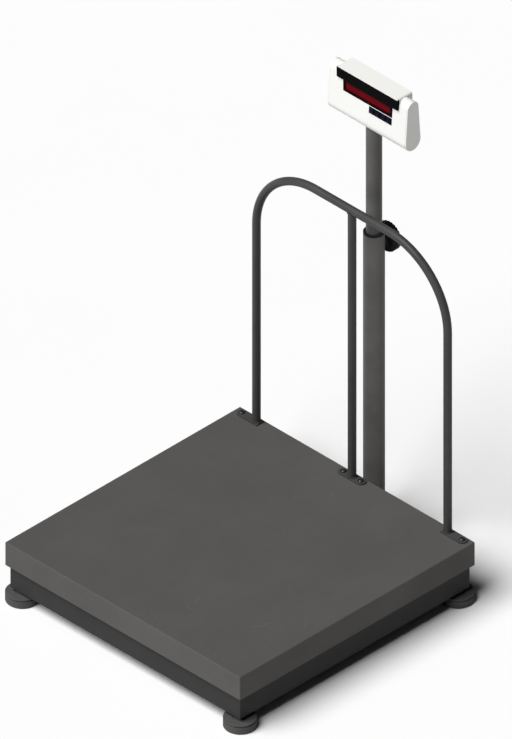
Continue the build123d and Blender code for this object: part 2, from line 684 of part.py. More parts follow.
def clamp_boss():
    """A threaded boss, welded to the rear of the pillar."""
    start = (0, PILLAR_Y, CLAMP_Z)
    boss = rod(CLAMP_BOSS_RADIUS, start, REARWARD, BOSS_FACE - PILLAR_Y)
    boss -= rod(PILLAR_RADIUS, (0, PILLAR_Y, CLAMP_Z - KNOB_RADIUS), UP, 2 * KNOB_RADIUS)
    bore = CLAMP_SCREW_RADIUS + RUNNING_FIT
    return boss - rod(bore, start, REARWARD, BOSS_FACE - PILLAR_Y)


def clamp_pad():
    """A brass slug that the screw presses on the inner tube."""
    start = (0, PILLAR_Y + INNER_RADIUS + MOVING_GAP, CLAMP_Z)
    return rod(CLAMP_SCREW_RADIUS, start, REARWARD, CLAMP_PAD_LENGTH)


def clamp_screw():
    start_y = PILLAR_Y + INNER_RADIUS + MOVING_GAP + CLAMP_PAD_LENGTH
    length = KNOB_FACE + KNOB_INSERT - start_y
    return rod(CLAMP_SCREW_RADIUS, (0, start_y, CLAMP_Z), REARWARD, length)


def clamp_knob():
    """A fluted hand knob."""
    face = Plane(origin=(0, KNOB_FACE, CLAMP_Z), z_dir=REARWARD)
    knob = Cylinder(KNOB_RADIUS, KNOB_THICKNESS, align=ON_BASE)
    knob = chamfer(knob.edges().filter_by(GeomType.CIRCLE), KNOB_THICKNESS / 12)
    offset = KNOB_RADIUS + KNOB_FLUTE_RADIUS / 2
    flute = Cylinder(KNOB_FLUTE_RADIUS, KNOB_THICKNESS, align=ON_BASE)
    knob -= PolarLocations(offset, KNOB_FLUTES) * flute
    knob -= Cylinder(CLAMP_SCREW_RADIUS, KNOB_INSERT, align=ON_BASE)
    return face * knob


# ---- inner column --------------------------------------------------------------
def inner_tube():
    bottom = PILLAR_TOP - INNER_ENGAGED
    start = (0, PILLAR_Y, bottom)
    return ring(INNER_RADIUS, INNER_RADIUS - INNER_WALL, start, UP, INNER_TOP - bottom)


def inner_tube_glide():
    """The sleeve that keeps the inner tube's lower end in line."""
    start = (0, PILLAR_Y, PILLAR_TOP - INNER_ENGAGED)
    return ring(PILLAR_BORE - RUNNING_FIT, INNER_RADIUS, start, UP, GLIDE_LENGTH)


def swivel_top():
    return INNER_TOP + MOVING_GAP + SOCKET_LENGTH + MOVING_GAP + SWIVEL_NUT


def head_spigot():
    """A plug in the inner tube's top, with the neck that the head turns on."""
    plug = rod(INNER_RADIUS - INNER_WALL, (0, PILLAR_Y, INNER_TOP - SPIGOT_PLUG), UP, SPIGOT_PLUG)
    neck = rod(SWIVEL_RADIUS, (0, PILLAR_Y, INNER_TOP), UP, swivel_top() - INNER_TOP)
    start = (0, PILLAR_Y, INNER_TOP - SPIGOT_PLUG)
    return plug + neck - rod(SWIVEL_BORE, start, UP, swivel_top() - start[2])


def swivel_nut():
    """The ring nut that keeps the head on its neck."""
    start = (0, PILLAR_Y, swivel_top() - SWIVEL_NUT)
    return ring(SWIVEL_NUT_RADIUS, SWIVEL_RADIUS, start, UP, SWIVEL_NUT)


# ---- head shells ---------------------------------------------------------------
def head_outline(inset):
    """The head seen from its end: a large round below, a small one above."""
    big = HEAD_LOWER_RADIUS - inset
    small = HEAD_UPPER_RADIUS - inset
    across = cos(LEAN)
    up = sin(LEAN)
    front = Line((-big * across, LOWER_CENTRE + big * up),
                 (-small * across, UPPER_CENTRE + small * up))
    crown = ThreePointArc(front @ 1, (0, UPPER_CENTRE + small),
                          (small * across, UPPER_CENTRE + small * up))
    back = Line(crown @ 1, (big * across, LOWER_CENTRE + big * up))
    keel = ThreePointArc(back @ 1, (0, LOWER_CENTRE - big), front @ 0)
    return make_face([front, crown, back, keel])


def head_bar(inset, start, end):
    """The head's section, drawn out along X."""
    plane = Plane(origin=(start, PILLAR_Y, 0), x_dir=REARWARD, z_dir=(1, 0, 0))
    return extrude(plane * head_outline(inset), end - start)


def head_housing():
    """Both shells as one, hollow and open at the ends."""
    half = HEAD_LENGTH / 2 - HEAD_CAP
    visor = VISOR_LENGTH / 2
    front = PILLAR_Y - VISOR_FRONT
    middle = PILLAR_Y
    roof = block(-visor, visor, front, HEAD_REAR, BEZEL_STEP, VISOR_TOP)
    upright = roof.edges().filter_by(Axis.Y).sort_by(Axis.Z)[-2:]
    roof = fillet(upright, VISOR_CORNER)
    rear_box = block(-visor, visor, middle, HEAD_REAR, REAR_BOX_FLOOR, BEZEL_STEP)
    rear_box = fillet(rear_box.edges().filter_by(Axis.X).group_by(Axis.Z)[0].sort_by(Axis.Y)[-1],
                      VISOR_CORNER)
    housing = head_bar(0, -half, half) + roof + rear_box
    inner = visor - HEAD_WALL
    ledge = PILLAR_Y - BEZEL_BACK + HEAD_WALL / 2
    cavity = head_bar(HEAD_WALL, -half, half)
    cavity += block(-inner, inner, ledge, HEAD_REAR - HEAD_WALL, BEZEL_STEP, VISOR_TOP - HEAD_WALL)
    cavity += block(-inner, inner, middle, HEAD_REAR - HEAD_WALL,
                    REAR_BOX_FLOOR + HEAD_WALL, BEZEL_STEP)
    return housing - cavity


def tube_entry():
    """The hole in the head's keel that the inner tube comes up through."""
    start = (0, PILLAR_Y, HEAD_BOTTOM)
    return rod(INNER_RADIUS + MOVING_GAP, start, UP, HEAD_LOWER_RADIUS)


def half_space(front):
    """All that lies before the seam, or all that lies behind it."""
    far = HEAD_LENGTH
    if front:
        return block(-far, far, SEAM_Y - far, SEAM_Y, HEAD_BOTTOM - far, VISOR_TOP + far)
    return block(-far, far, SEAM_Y, SEAM_Y + far, HEAD_BOTTOM - far, VISOR_TOP + far)


def head_screw_places():
    x = HEAD_LENGTH / 2 - HEAD_CAP - HEAD_SCREW_INSET
    return [(side * x, z) for side in (-1, 1) for z in (LOWER_CENTRE, UPPER_CENTRE)]


def display_post_places():
    x = DISPLAY_BOARD_HALF - 2 * POST_RADIUS
    low = display_board_bottom() + 2 * POST_RADIUS
    high = low + DISPLAY_BOARD_HEIGHT - 4 * POST_RADIUS
    return [(side * x, z) for side in (-1, 1) for z in (low, high)]


def display_board_bottom():
    return BEZEL_TOP - BEZEL_HEIGHT - WINDOW_DROP / 2 - DISPLAY_BOARD_HEIGHT / 2


def window_back():
    """Rear face of the window, which lies in a rebate in the bezel's rear."""
    return PILLAR_Y - BEZEL_BACK


def digit_front():
    return window_back() + DIGIT_GAP


def display_board_front():
    return digit_front() + DIGIT_DEPTH


KEY_FACE_ORIGIN = (0, PILLAR_Y - HEAD_LOWER_RADIUS * cos(LEAN),
                   LOWER_CENTRE + HEAD_LOWER_RADIUS * sin(LEAN))
KEY_FACE = Plane(origin=KEY_FACE_ORIGIN, x_dir=(1, 0, 0), z_dir=(0, -cos(LEAN), sin(LEAN)))
KEYPAD_TOP = (WINDOW_BOTTOM - KEYPAD_BELOW_WINDOW - KEY_FACE_ORIGIN[2]) / cos(LEAN)
KEYPAD_MIDDLE = KEYPAD_TOP - KEYPAD_HEIGHT / 2


def leaning_face_y(z):
    """Where the front face stands at a height."""
    return KEY_FACE_ORIGIN[1] + (z - KEY_FACE_ORIGIN[2]) * tan(LEAN)


def on_face(x0, x1, y0, y1, depth, height):
    """A block on the leaning face: x along it, y up it, then from depth to height."""
    return KEY_FACE * block(x0, x1, y0, y1, depth, height)


def keypad_span(margin, half_height, depth, height):
    end = KEYPAD_START + KEYPAD_LENGTH
    low = KEYPAD_MIDDLE - half_height
    high = KEYPAD_MIDDLE + half_height
    return on_face(KEYPAD_START + margin, end - margin, low, high, depth, height)


def key_centres():
    pitch = KEYPAD_LENGTH / len(KEY_NAMES)
    return [KEYPAD_START + pitch * (index + 0.5) for index in range(len(KEY_NAMES))]


def rib(x, housing_core):
    """A rib across the keel that the socket plate stands on."""
    half = SOCKET_RIB / 2
    top = INNER_TOP + SOCKET_PLATE_LIFT
    solid = block(x - half, x + half, PILLAR_Y - HEAD_LOWER_RADIUS, SEAM_Y, HEAD_BOTTOM, top)
    return solid & housing_core


def head_front_shell():
    shell = head_housing() & half_space(True)
    core = head_bar(HEAD_WALL - HEAD_RIB_BITE, -HEAD_LENGTH / 2, HEAD_LENGTH / 2)
    rib_x = (SOCKET_PLATE_LENGTH - SOCKET_RIB) / 2
    for side in (-1, 1):
        shell += rib(side * rib_x, core)
        hole = (side * rib_x, PILLAR_Y - SOCKET_PLATE_HALF_DEPTH / 3, INNER_TOP + SOCKET_PLATE_LIFT)
        shell -= rod(HEAD_SCREW_RADIUS + RUNNING_FIT, hole, DOWN, 2 * HEAD_SCREW_HEAD)
    boss_front = PILLAR_Y - HEAD_UPPER_RADIUS / 2 - HEAD_WALL
    for x, z in head_screw_places():
        boss = rod(HEAD_BOSS_RADIUS, (x, PILLAR_Y - HEAD_LOWER_RADIUS, z), REARWARD,
                   SEAM_Y - PILLAR_Y + HEAD_LOWER_RADIUS)
        shell += boss & core
        shell -= rod(HEAD_SCREW_RADIUS + RUNNING_FIT, (x, boss_front, z), REARWARD, HEAD_LENGTH)
    back = display_board_front()
    for x, z in display_post_places():
        start_y = leaning_face_y(z) + HEAD_WALL / 2
        shell += rod(POST_RADIUS, (x, start_y, z), REARWARD, back - start_y)
    front = PILLAR_Y - HEAD_LOWER_RADIUS
    visor = VISOR_LENGTH / 2
    shell -= block(-visor, visor, front, window_back(), BEZEL_STEP, BEZEL_TOP)
    shell -= block(-WINDOW_HALF, WINDOW_HALF, front, window_back(), WINDOW_BOTTOM, BEZEL_STEP)
    clear = WINDOW_HALF - WINDOW_RIM + WINDOW_LAND
    shell -= block(-clear, clear, front, back, WINDOW_BOTTOM + WINDOW_RIM - WINDOW_LAND,
                   BEZEL_STEP - WINDOW_LAND)
    shell -= keypad_span(0, KEYPAD_HEIGHT / 2, -KEYPAD_SHEET, HEAD_WALL)
    shell -= keypad_span(KEYPAD_LEDGE, KEYPAD_HEIGHT / 2 - KEYPAD_LEDGE, -2 * HEAD_WALL, 0)
    return shell - tube_entry()


def rear_boards_wall():
    return HEAD_REAR - HEAD_WALL


def main_board_span():
    """Corners of the main board, seen from behind."""
    bottom = REAR_BOX_FLOOR + HEAD_WALL + POST_RADIUS
    return (MAIN_BOARD_START, MAIN_BOARD_START + MAIN_BOARD_LENGTH, bottom,
            bottom + MAIN_BOARD_HEIGHT)


def main_post_places():
    x0, x1, z0, z1 = main_board_span()
    edge = 1.5 * POST_RADIUS
    return [(x, z) for x in (x0 + edge, x1 - edge) for z in (z0 + edge, z1 - edge)]


def battery_span():
    bottom = REAR_BOX_FLOOR + 2 * HEAD_WALL + DOOR_MARGIN
    return (BATTERY_START, BATTERY_START + BATTERY_LENGTH, bottom, bottom + BATTERY_HEIGHT)


def head_rear_cover():
    cover = head_housing() & half_space(False)
    wall = rear_boards_wall()
    for x, z in main_post_places():
        start = wall - MAIN_BOARD_DEPTH + BOARD
        cover += rod(POST_RADIUS, (x, start, z), REARWARD, wall - start)
    core = head_bar(HEAD_WALL - HEAD_RIB_BITE, -HEAD_LENGTH / 2, HEAD_LENGTH / 2)
    for x, z in head_screw_places():
        cover += rod(HEAD_BOSS_RADIUS, (x, SEAM_Y, z), REARWARD, HEAD_LOWER_RADIUS) & core
        cover -= rod(HEAD_SCREW_RADIUS + BOLT_FIT, (x, SEAM_Y, z), REARWARD, HEAD_LENGTH)
        pocket = SEAM_Y + HEAD_WALL / 2
        cover -= rod(HEAD_SCREW_HEAD + BOLT_FIT, (x, pocket, z), REARWARD, HEAD_LENGTH)
    x0, x1, z0, z1 = battery_span()
    cover -= block(x0, x1, SEAM_Y, HEAD_REAR, z0, z1)
    margin = DOOR_MARGIN
    cover -= block(x0 - margin, x1 + margin, HEAD_REAR - DOOR_SHEET, HEAD_REAR,
                   z0 - margin, z1 + margin)
    half_width = ROCKER_HALF_WIDTH + MOVING_GAP + ROCKER_CASE_WALL
    half_height = ROCKER_HALF_HEIGHT + ROCKER_CASE_WALL * 2
    cover -= block(FITTING_X - half_width, FITTING_X + half_width, wall, HEAD_REAR,
                   ROCKER_Z - half_height, ROCKER_Z + half_height)
    cover -= rod(INLET_RADIUS, (FITTING_X, wall, INLET_Z), REARWARD, HEAD_WALL)
    return cover - tube_entry()


def head_end_caps():
    """Plates that close the ends, with a lip inside the shells."""
    caps = []
    half = HEAD_LENGTH / 2
    inner = half - HEAD_CAP
    lip = HEAD_WALL + MOVING_GAP / 2
    for side in (-1, 1):
        ends = sorted((side * inner, side * half))
        cap = head_bar(0, *ends)
        ends = sorted((side * (inner - HEAD_CAP_LIP), side * inner))
        cap += head_bar(lip, *ends) - head_bar(lip + HEAD_WALL / 2, *ends)
        caps.append(cap)
    return group(caps)


def head_screws():
    """Screws of the rear cover and of the socket plate."""
    screws = []
    seat = SEAM_Y + HEAD_WALL / 2
    length = seat - (PILLAR_Y - HEAD_UPPER_RADIUS / 2 - HEAD_WALL) - SCREW_TIP_GAP
    for x, z in head_screw_places():
        shank = rod(HEAD_SCREW_RADIUS, (x, seat, z), FORWARD, length)
        screws.append(shank + rod(HEAD_SCREW_HEAD, (x, seat, z), REARWARD, HEAD_SCREW_RADIUS))
    rib_x = (SOCKET_PLATE_LENGTH - SOCKET_RIB) / 2
    top = INNER_TOP + SOCKET_PLATE_LIFT + SOCKET_PLATE
    for side in (-1, 1):
        place = (side * rib_x, PILLAR_Y - SOCKET_PLATE_HALF_DEPTH / 3, top)
        length = SOCKET_PLATE + 2 * HEAD_SCREW_HEAD - SCREW_TIP_GAP
        shank = rod(HEAD_SCREW_RADIUS, place, DOWN, length)
        screws.append(shank + rod(HEAD_SCREW_HEAD, place, UP, HEAD_SCREW_RADIUS))
    return group(screws)


def head_socket():
    """The metal socket in the head that turns on the neck."""
    start = (0, PILLAR_Y, INNER_TOP + MOVING_GAP)
    socket = rod(SWIVEL_RADIUS + SOCKET_WALL, start, UP, SOCKET_LENGTH)
    low = INNER_TOP + SOCKET_PLATE_LIFT
    half = SOCKET_PLATE_LENGTH / 2
    depth = SOCKET_PLATE_HALF_DEPTH
    socket += block(-half, half, PILLAR_Y - depth, PILLAR_Y + depth, low, low + SOCKET_PLATE)
    rib_x = (SOCKET_PLATE_LENGTH - SOCKET_RIB) / 2
    for side in (-1, 1):
        place = (side * rib_x, PILLAR_Y - depth / 3, low)
        socket -= rod(HEAD_SCREW_RADIUS + BOLT_FIT, place, UP, SOCKET_PLATE)
    return socket - rod(SWIVEL_RADIUS + RUNNING_FIT, start, UP, SOCKET_LENGTH)


# ---- display and keypad --------------------------------------------------------
def display_bezel():
    """The black surround, wide under the visor and narrow round the window."""
    back = window_back()
    visor = VISOR_LENGTH / 2
    bezel = block(-visor, visor, PILLAR_Y - VISOR_FRONT, back, BEZEL_STEP, BEZEL_TOP)
    bezel += block(-WINDOW_HALF, WINDOW_HALF, PILLAR_Y - WINDOW_FRONT, back,
                   WINDOW_BOTTOM, BEZEL_STEP)
    clear = WINDOW_HALF - WINDOW_RIM
    bezel -= block(-clear, clear, PILLAR_Y - VISOR_FRONT, back,
                   WINDOW_BOTTOM + WINDOW_RIM, BEZEL_STEP - WINDOW_LAND * 2)
    return bezel - display_window()


def display_window():
    """The red filter."""
    reach = WINDOW_HALF - WINDOW_RIM + WINDOW_LAND
    return block(-reach, reach, window_back() - WINDOW_SHEET, window_back(),
                 WINDOW_BOTTOM + WINDOW_RIM - WINDOW_LAND, BEZEL_STEP - WINDOW_LAND)


def display_board():
    front = display_board_front()
    low = display_board_bottom()
    return block(-DISPLAY_BOARD_HALF, DISPLAY_BOARD_HALF, front, front + BOARD,
                 low, low + DISPLAY_BOARD_HEIGHT)


def led_digits():
    """A row of digit modules behind the window."""
    middle = (WINDOW_BOTTOM + WINDOW_RIM + BEZEL_STEP - 2 * WINDOW_LAND) / 2
    half = DIGIT_WIDTH / 2
    digits = []
    for index in range(DIGIT_COUNT):
        x = (index - (DIGIT_COUNT - 1) / 2) * DIGIT_PITCH
        digits.append(block(x - half, x + half, digit_front(), display_board_front(),
                            middle - DIGIT_HEIGHT / 2, middle + DIGIT_HEIGHT / 2))
    return group(digits)


def keypad_frame():
    frame = keypad_span(0, KEYPAD_HEIGHT / 2, -KEYPAD_SHEET, KEYPAD_PROUD)
    half = KEY_LENGTH / 2 + KEY_CLEARANCE
    height = KEY_HEIGHT / 2 + KEY_CLEARANCE
    for x in key_centres():
        frame -= on_face(x - half, x + half, KEYPAD_MIDDLE - height, KEYPAD_MIDDLE + height,
                         -KEYPAD_SHEET, KEYPAD_PROUD)
    return frame


def key(x):
    """A key cap with the flange that keeps it behind the frame."""
    half = KEY_LENGTH / 2
    height = KEY_HEIGHT / 2
    flange_top = -KEYPAD_SHEET - MOVING_GAP / 2
    cap = on_face(x - half, x + half, KEYPAD_MIDDLE - height, KEYPAD_MIDDLE + height,
                  flange_top, KEYPAD_PROUD + KEY_PROUD)
    lip = 2 * KEY_CLEARANCE
    cap += on_face(x - half - lip, x + half + lip, KEYPAD_MIDDLE - height - lip,
                   KEYPAD_MIDDLE + height + lip, flange_top - KEY_FLANGE, flange_top)
    return cap


def switch_top():
    """Depth of the switches' tops, which the keys reach at full travel."""
    return -KEYPAD_SHEET - MOVING_GAP / 2 - KEY_FLANGE - KEY_TRAVEL - MOVING_GAP


def keypad_board():
    """The keys' board, with a push switch behind each key, screwed to the front shell."""
    face = switch_top() - SWITCH_HEIGHT
    board = keypad_span(-KEYPAD_STAND, KEYPAD_HEIGHT / 2, face - BOARD, face)
    half = SWITCH_SIDE / 2
    for x in key_centres():
        board += on_face(x - half, x + half, KEYPAD_MIDDLE - half, KEYPAD_MIDDLE + half,
                         face, switch_top())
    for side, x in ((-1, KEYPAD_START), (1, KEYPAD_START + KEYPAD_LENGTH)):
        board += on_face(x - side * KEYPAD_LEDGE, x + side * KEYPAD_STAND, KEYPAD_MIDDLE - half,
                         KEYPAD_MIDDLE + half, face, -HEAD_WALL)
    return board


# ---- rear electronics ----------------------------------------------------------
def main_board():
    x0, x1, z0, z1 = main_board_span()
    front = rear_boards_wall() - MAIN_BOARD_DEPTH
    return block(x0, x1, front, front + BOARD, z0, z1)


def battery_pack():
    x0, x1, z0, z1 = battery_span()
    rear = HEAD_REAR - DOOR_SHEET
    gap = MOVING_GAP
    return block(x0 + gap, x1 - gap, rear - BATTERY_DEPTH, rear, z0 + gap, z1 - gap)


def battery_door():
    x0, x1, z0, z1 = battery_span()
    margin = DOOR_MARGIN - MOVING_GAP / 2
    return block(x0 - margin, x1 + margin, HEAD_REAR - DOOR_SHEET, HEAD_REAR,
                 z0 - margin, z1 + margin)


def power_switch_case():
    """The rocker's case, clipped into the rear cover."""
    half_width = ROCKER_HALF_WIDTH + MOVING_GAP + ROCKER_CASE_WALL
    half_height = ROCKER_HALF_HEIGHT + 2 * ROCKER_CASE_WALL
    front = HEAD_REAR - ROCKER_CASE_DEPTH
    case = block(FITTING_X - half_width, FITTING_X + half_width, front, HEAD_REAR,
                 ROCKER_Z - half_height, ROCKER_Z + half_height)
    rim = ROCKER_FLANGE
    case += block(FITTING_X - half_width - rim, FITTING_X + half_width + rim, HEAD_REAR,
                  HEAD_REAR + rim, ROCKER_Z - half_height - rim, ROCKER_Z + half_height + rim)
    well = half_width - ROCKER_CASE_WALL
    tall = half_height - ROCKER_CASE_WALL
    case -= block(FITTING_X - well, FITTING_X + well, front + ROCKER_CASE_WALL,
                  HEAD_REAR + rim, ROCKER_Z - tall, ROCKER_Z + tall)
    pin = ROCKER_HALF_WIDTH + MOVING_GAP + ROCKER_CASE_WALL
    start = (FITTING_X - pin, rocker_pivot_y(), ROCKER_Z)
    return case - rod(ROCKER_PIN + RUNNING_FIT, start, (1, 0, 0), 2 * pin)


def rocker_pivot_y():
    return HEAD_REAR - ROCKER_THICKNESS / 2


def power_rocker():
    """The rocker, tipped to its off side, with its pivot pins."""
    half = ROCKER_THICKNESS / 2
    paddle = block(-ROCKER_HALF_WIDTH, ROCKER_HALF_WIDTH, -half, half + ROCKER_FLANGE,
                   -ROCKER_HALF_HEIGHT, ROCKER_HALF_HEIGHT)
    hollow_radius = 4 * ROCKER_HALF_HEIGHT
    axis = (-ROCKER_HALF_WIDTH, half + ROCKER_FLANGE + hollow_radius * 0.98, 0)
    paddle -= rod(hollow_radius, axis, (1, 0, 0), 2 * ROCKER_HALF_WIDTH)
    reach = ROCKER_HALF_WIDTH + MOVING_GAP + ROCKER_CASE_WALL * 0.8
    paddle += rod(ROCKER_PIN, (-reach, 0, 0), (1, 0, 0), 2 * reach)
    return Pos(FITTING_X, rocker_pivot_y(), ROCKER_Z) * Rot(ROCKER_ANGLE, 0, 0) * paddle


def power_inlet():
    """A round low-voltage inlet."""
    wall = rear_boards_wall()
    body = rod(INLET_RADIUS, (FITTING_X, wall, INLET_Z), REARWARD, HEAD_WALL)
    body += rod(INLET_RADIUS + INLET_SHOULDER, (FITTING_X, wall, INLET_Z), FORWARD, INLET_DEPTH - HEAD_WALL)
    body += rod(INLET_FLANGE, (FITTING_X, HEAD_REAR, INLET_Z), REARWARD, ROCKER_FLANGE)
    mouth = (FITTING_X, HEAD_REAR + ROCKER_FLANGE, INLET_Z)
    return body - rod(INLET_BORE, mouth, FORWARD, INLET_DEPTH)


# ---- the whole thing -----------------------------------------------------------
def all_pieces():
    pieces = {
        "platform_pan": platform_pan(),
        "upper_frame": upper_frame(),
        "base_frame": base_frame(),
        "load_cell": load_cell(),
        "load_cell_spacers": load_cell_spacers(),
        "load_cell_bolts": load_cell_bolts(),
        "overload_stops": overload_stops(),
        "rail_hoop": rail_hoop(),
        "rail_centre_post": rail_centre_post(),
        "rail_foot_plates": rail_foot_plates(),
        "rail_screws": rail_screws(),
        "rail_inserts": rail_inserts(),
        "pillar_bracket": pillar_bracket(),
        "bracket_bolts": bracket_bolts(),
        "bracket_inserts": bracket_inserts(),
        "cable_grommet": cable_grommet(),
        "pillar_base_flange": pillar_base_flange(),
        "pillar_base_bolts": pillar_base_bolts(),
        "pillar_outer_tube": pillar_outer_tube(),
        "pillar_guide_bush": pillar_guide_bush(),
        "clamp_boss": clamp_boss(),
        "clamp_pad": clamp_pad(),
        "clamp_screw": clamp_screw(),
        "clamp_knob": clamp_knob(),
        "inner_tube": inner_tube(),
        "inner_tube_glide": inner_tube_glide(),
        "head_spigot": head_spigot(),
        "swivel_nut": swivel_nut(),
        "head_socket": head_socket(),
        "head_front_shell": head_front_shell(),
        "head_rear_cover": head_rear_cover(),
        "head_end_caps": head_end_caps(),
        "head_screws": head_screws(),
        "display_bezel": display_bezel(),
        "display_window": display_window(),
        "display_board": display_board(),
        "led_digits": led_digits(),
        "keypad_frame": keypad_frame(),
        "keypad_board": keypad_board(),
        "main_board": main_board(),
        "battery_pack": battery_pack(),
        "battery_door": battery_door(),
        "power_switch_case": power_switch_case(),
        "power_rocker": power_rocker(),
        "power_inlet": power_inlet(),
    }
    pieces.update(feet())
    for name, x in zip(KEY_NAMES, key_centres()):
        pieces[name] = key(x)
    return pieces


os.makedirs("parts", exist_ok=True)
for node, shape in all_pieces().items():
    export_step(Pos(0, SHIFT, 0) * shape, f"parts/{node}.step")
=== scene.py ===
"""The finishes and fine shapes of an animal weighing scale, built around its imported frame.

Metres, +Z up, the display faces -Y. Sizes and places are read from the frame's own parts.
"""
import json
import math
import random

import bmesh
import bpy
from mathutils import Matrix, Vector
from mathutils.bvhtree import BVHTree


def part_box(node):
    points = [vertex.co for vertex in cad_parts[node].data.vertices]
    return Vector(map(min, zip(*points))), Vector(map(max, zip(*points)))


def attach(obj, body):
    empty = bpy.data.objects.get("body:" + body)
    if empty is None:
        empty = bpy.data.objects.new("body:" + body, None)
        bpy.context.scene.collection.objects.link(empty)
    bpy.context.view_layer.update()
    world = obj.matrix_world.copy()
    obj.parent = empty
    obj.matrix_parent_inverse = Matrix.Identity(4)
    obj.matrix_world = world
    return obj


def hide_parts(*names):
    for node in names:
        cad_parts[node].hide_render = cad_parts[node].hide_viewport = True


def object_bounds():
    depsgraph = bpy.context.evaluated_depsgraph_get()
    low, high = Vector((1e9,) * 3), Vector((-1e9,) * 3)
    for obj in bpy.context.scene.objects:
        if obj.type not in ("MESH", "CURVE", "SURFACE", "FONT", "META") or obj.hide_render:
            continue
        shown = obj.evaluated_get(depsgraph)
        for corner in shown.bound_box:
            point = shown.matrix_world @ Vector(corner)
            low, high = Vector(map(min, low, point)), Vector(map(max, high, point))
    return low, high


MM = 0.001
TURN = math.tau
UP, DOWN = Vector((0, 0, 1)), Vector((0, 0, -1))
FORWARD, BACKWARD = Vector((0, -1, 0)), Vector((0, 1, 0))

# Metric threads and the spanner size of their nuts.
M8_RADIUS, M8_PITCH, M8_FLATS = 4.0 * MM, 1.25 * MM, 13.0 * MM
M12_PITCH = 1.75 * MM
THREAD_PLAY = 0.08 * MM

# Weld beads: how many sides they have, how far apart their ripples and their rings are.
BEAD_SIDES = 8
BEAD_RIPPLE = 1.7 * MM
BEAD_STEP = 0.45 * MM

# The room: the sun's power, spread and side, the sky's light, and the floor's two tones.
SUN_POWER, SUN_SPREAD, SUN_SIDE = 4.7, math.radians(42), Vector((-0.12, -0.55, 0.82))
SKY_POWER = 0.03
FLOOR_TONES = (0.77, 0.77, 0.77), (0.785, 0.785, 0.785)
FLOOR_REACH = 14.0

# The camera looks down a cube's diagonal, without perspective; sizes in metres.
VIEW_SIDE = Vector((1, -1, 1)).normalized()
VIEW_CENTRE = Vector((-0.10667, 0.11000, 0.38118))
VIEW_HEIGHT = 1.3335
VIEW_DEPTH = 30.0

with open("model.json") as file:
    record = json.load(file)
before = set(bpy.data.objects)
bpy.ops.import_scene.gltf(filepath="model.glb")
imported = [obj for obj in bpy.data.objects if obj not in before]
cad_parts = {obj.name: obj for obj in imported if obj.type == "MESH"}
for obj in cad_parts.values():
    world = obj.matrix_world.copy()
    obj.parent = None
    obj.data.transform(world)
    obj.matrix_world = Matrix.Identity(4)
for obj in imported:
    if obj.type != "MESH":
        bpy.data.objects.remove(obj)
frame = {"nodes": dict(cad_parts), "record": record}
cad_box = [list(corner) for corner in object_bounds()]
record = frame["record"]
nodes = frame["nodes"]
slot_of = {part["node"]: part["material_slot"] for part in record["subparts"]}
chance = random.Random(11)


# ---- how a finish is written --------------------------------------------------
class Value:
    """A number, a colour or a place in a finish, for sums written as in Python."""

    def __init__(self, recipe, socket):
        self.recipe = recipe
        self.socket = socket

    def sum(self, operation, first, second):
        """The node that works out one step of a sum."""
        vector = self.socket.type in ("VECTOR", "RGBA")
        kind = "ShaderNodeVectorMath" if vector else "ShaderNodeMath"
        return self.recipe.node(kind, {"operation": operation}, {0: first, 1: second})

    def __add__(self, other):
        return self.sum("ADD", self, other)

    def __radd__(self, other):
        return self.sum("ADD", other, self)

    def __sub__(self, other):
        return self.sum("SUBTRACT", self, other)

    def __rsub__(self, other):
        return self.sum("SUBTRACT", other, self)

    def __mul__(self, other):
        return self.sum("MULTIPLY", self, other)

    def __rmul__(self, other):
        return self.sum("MULTIPLY", other, self)


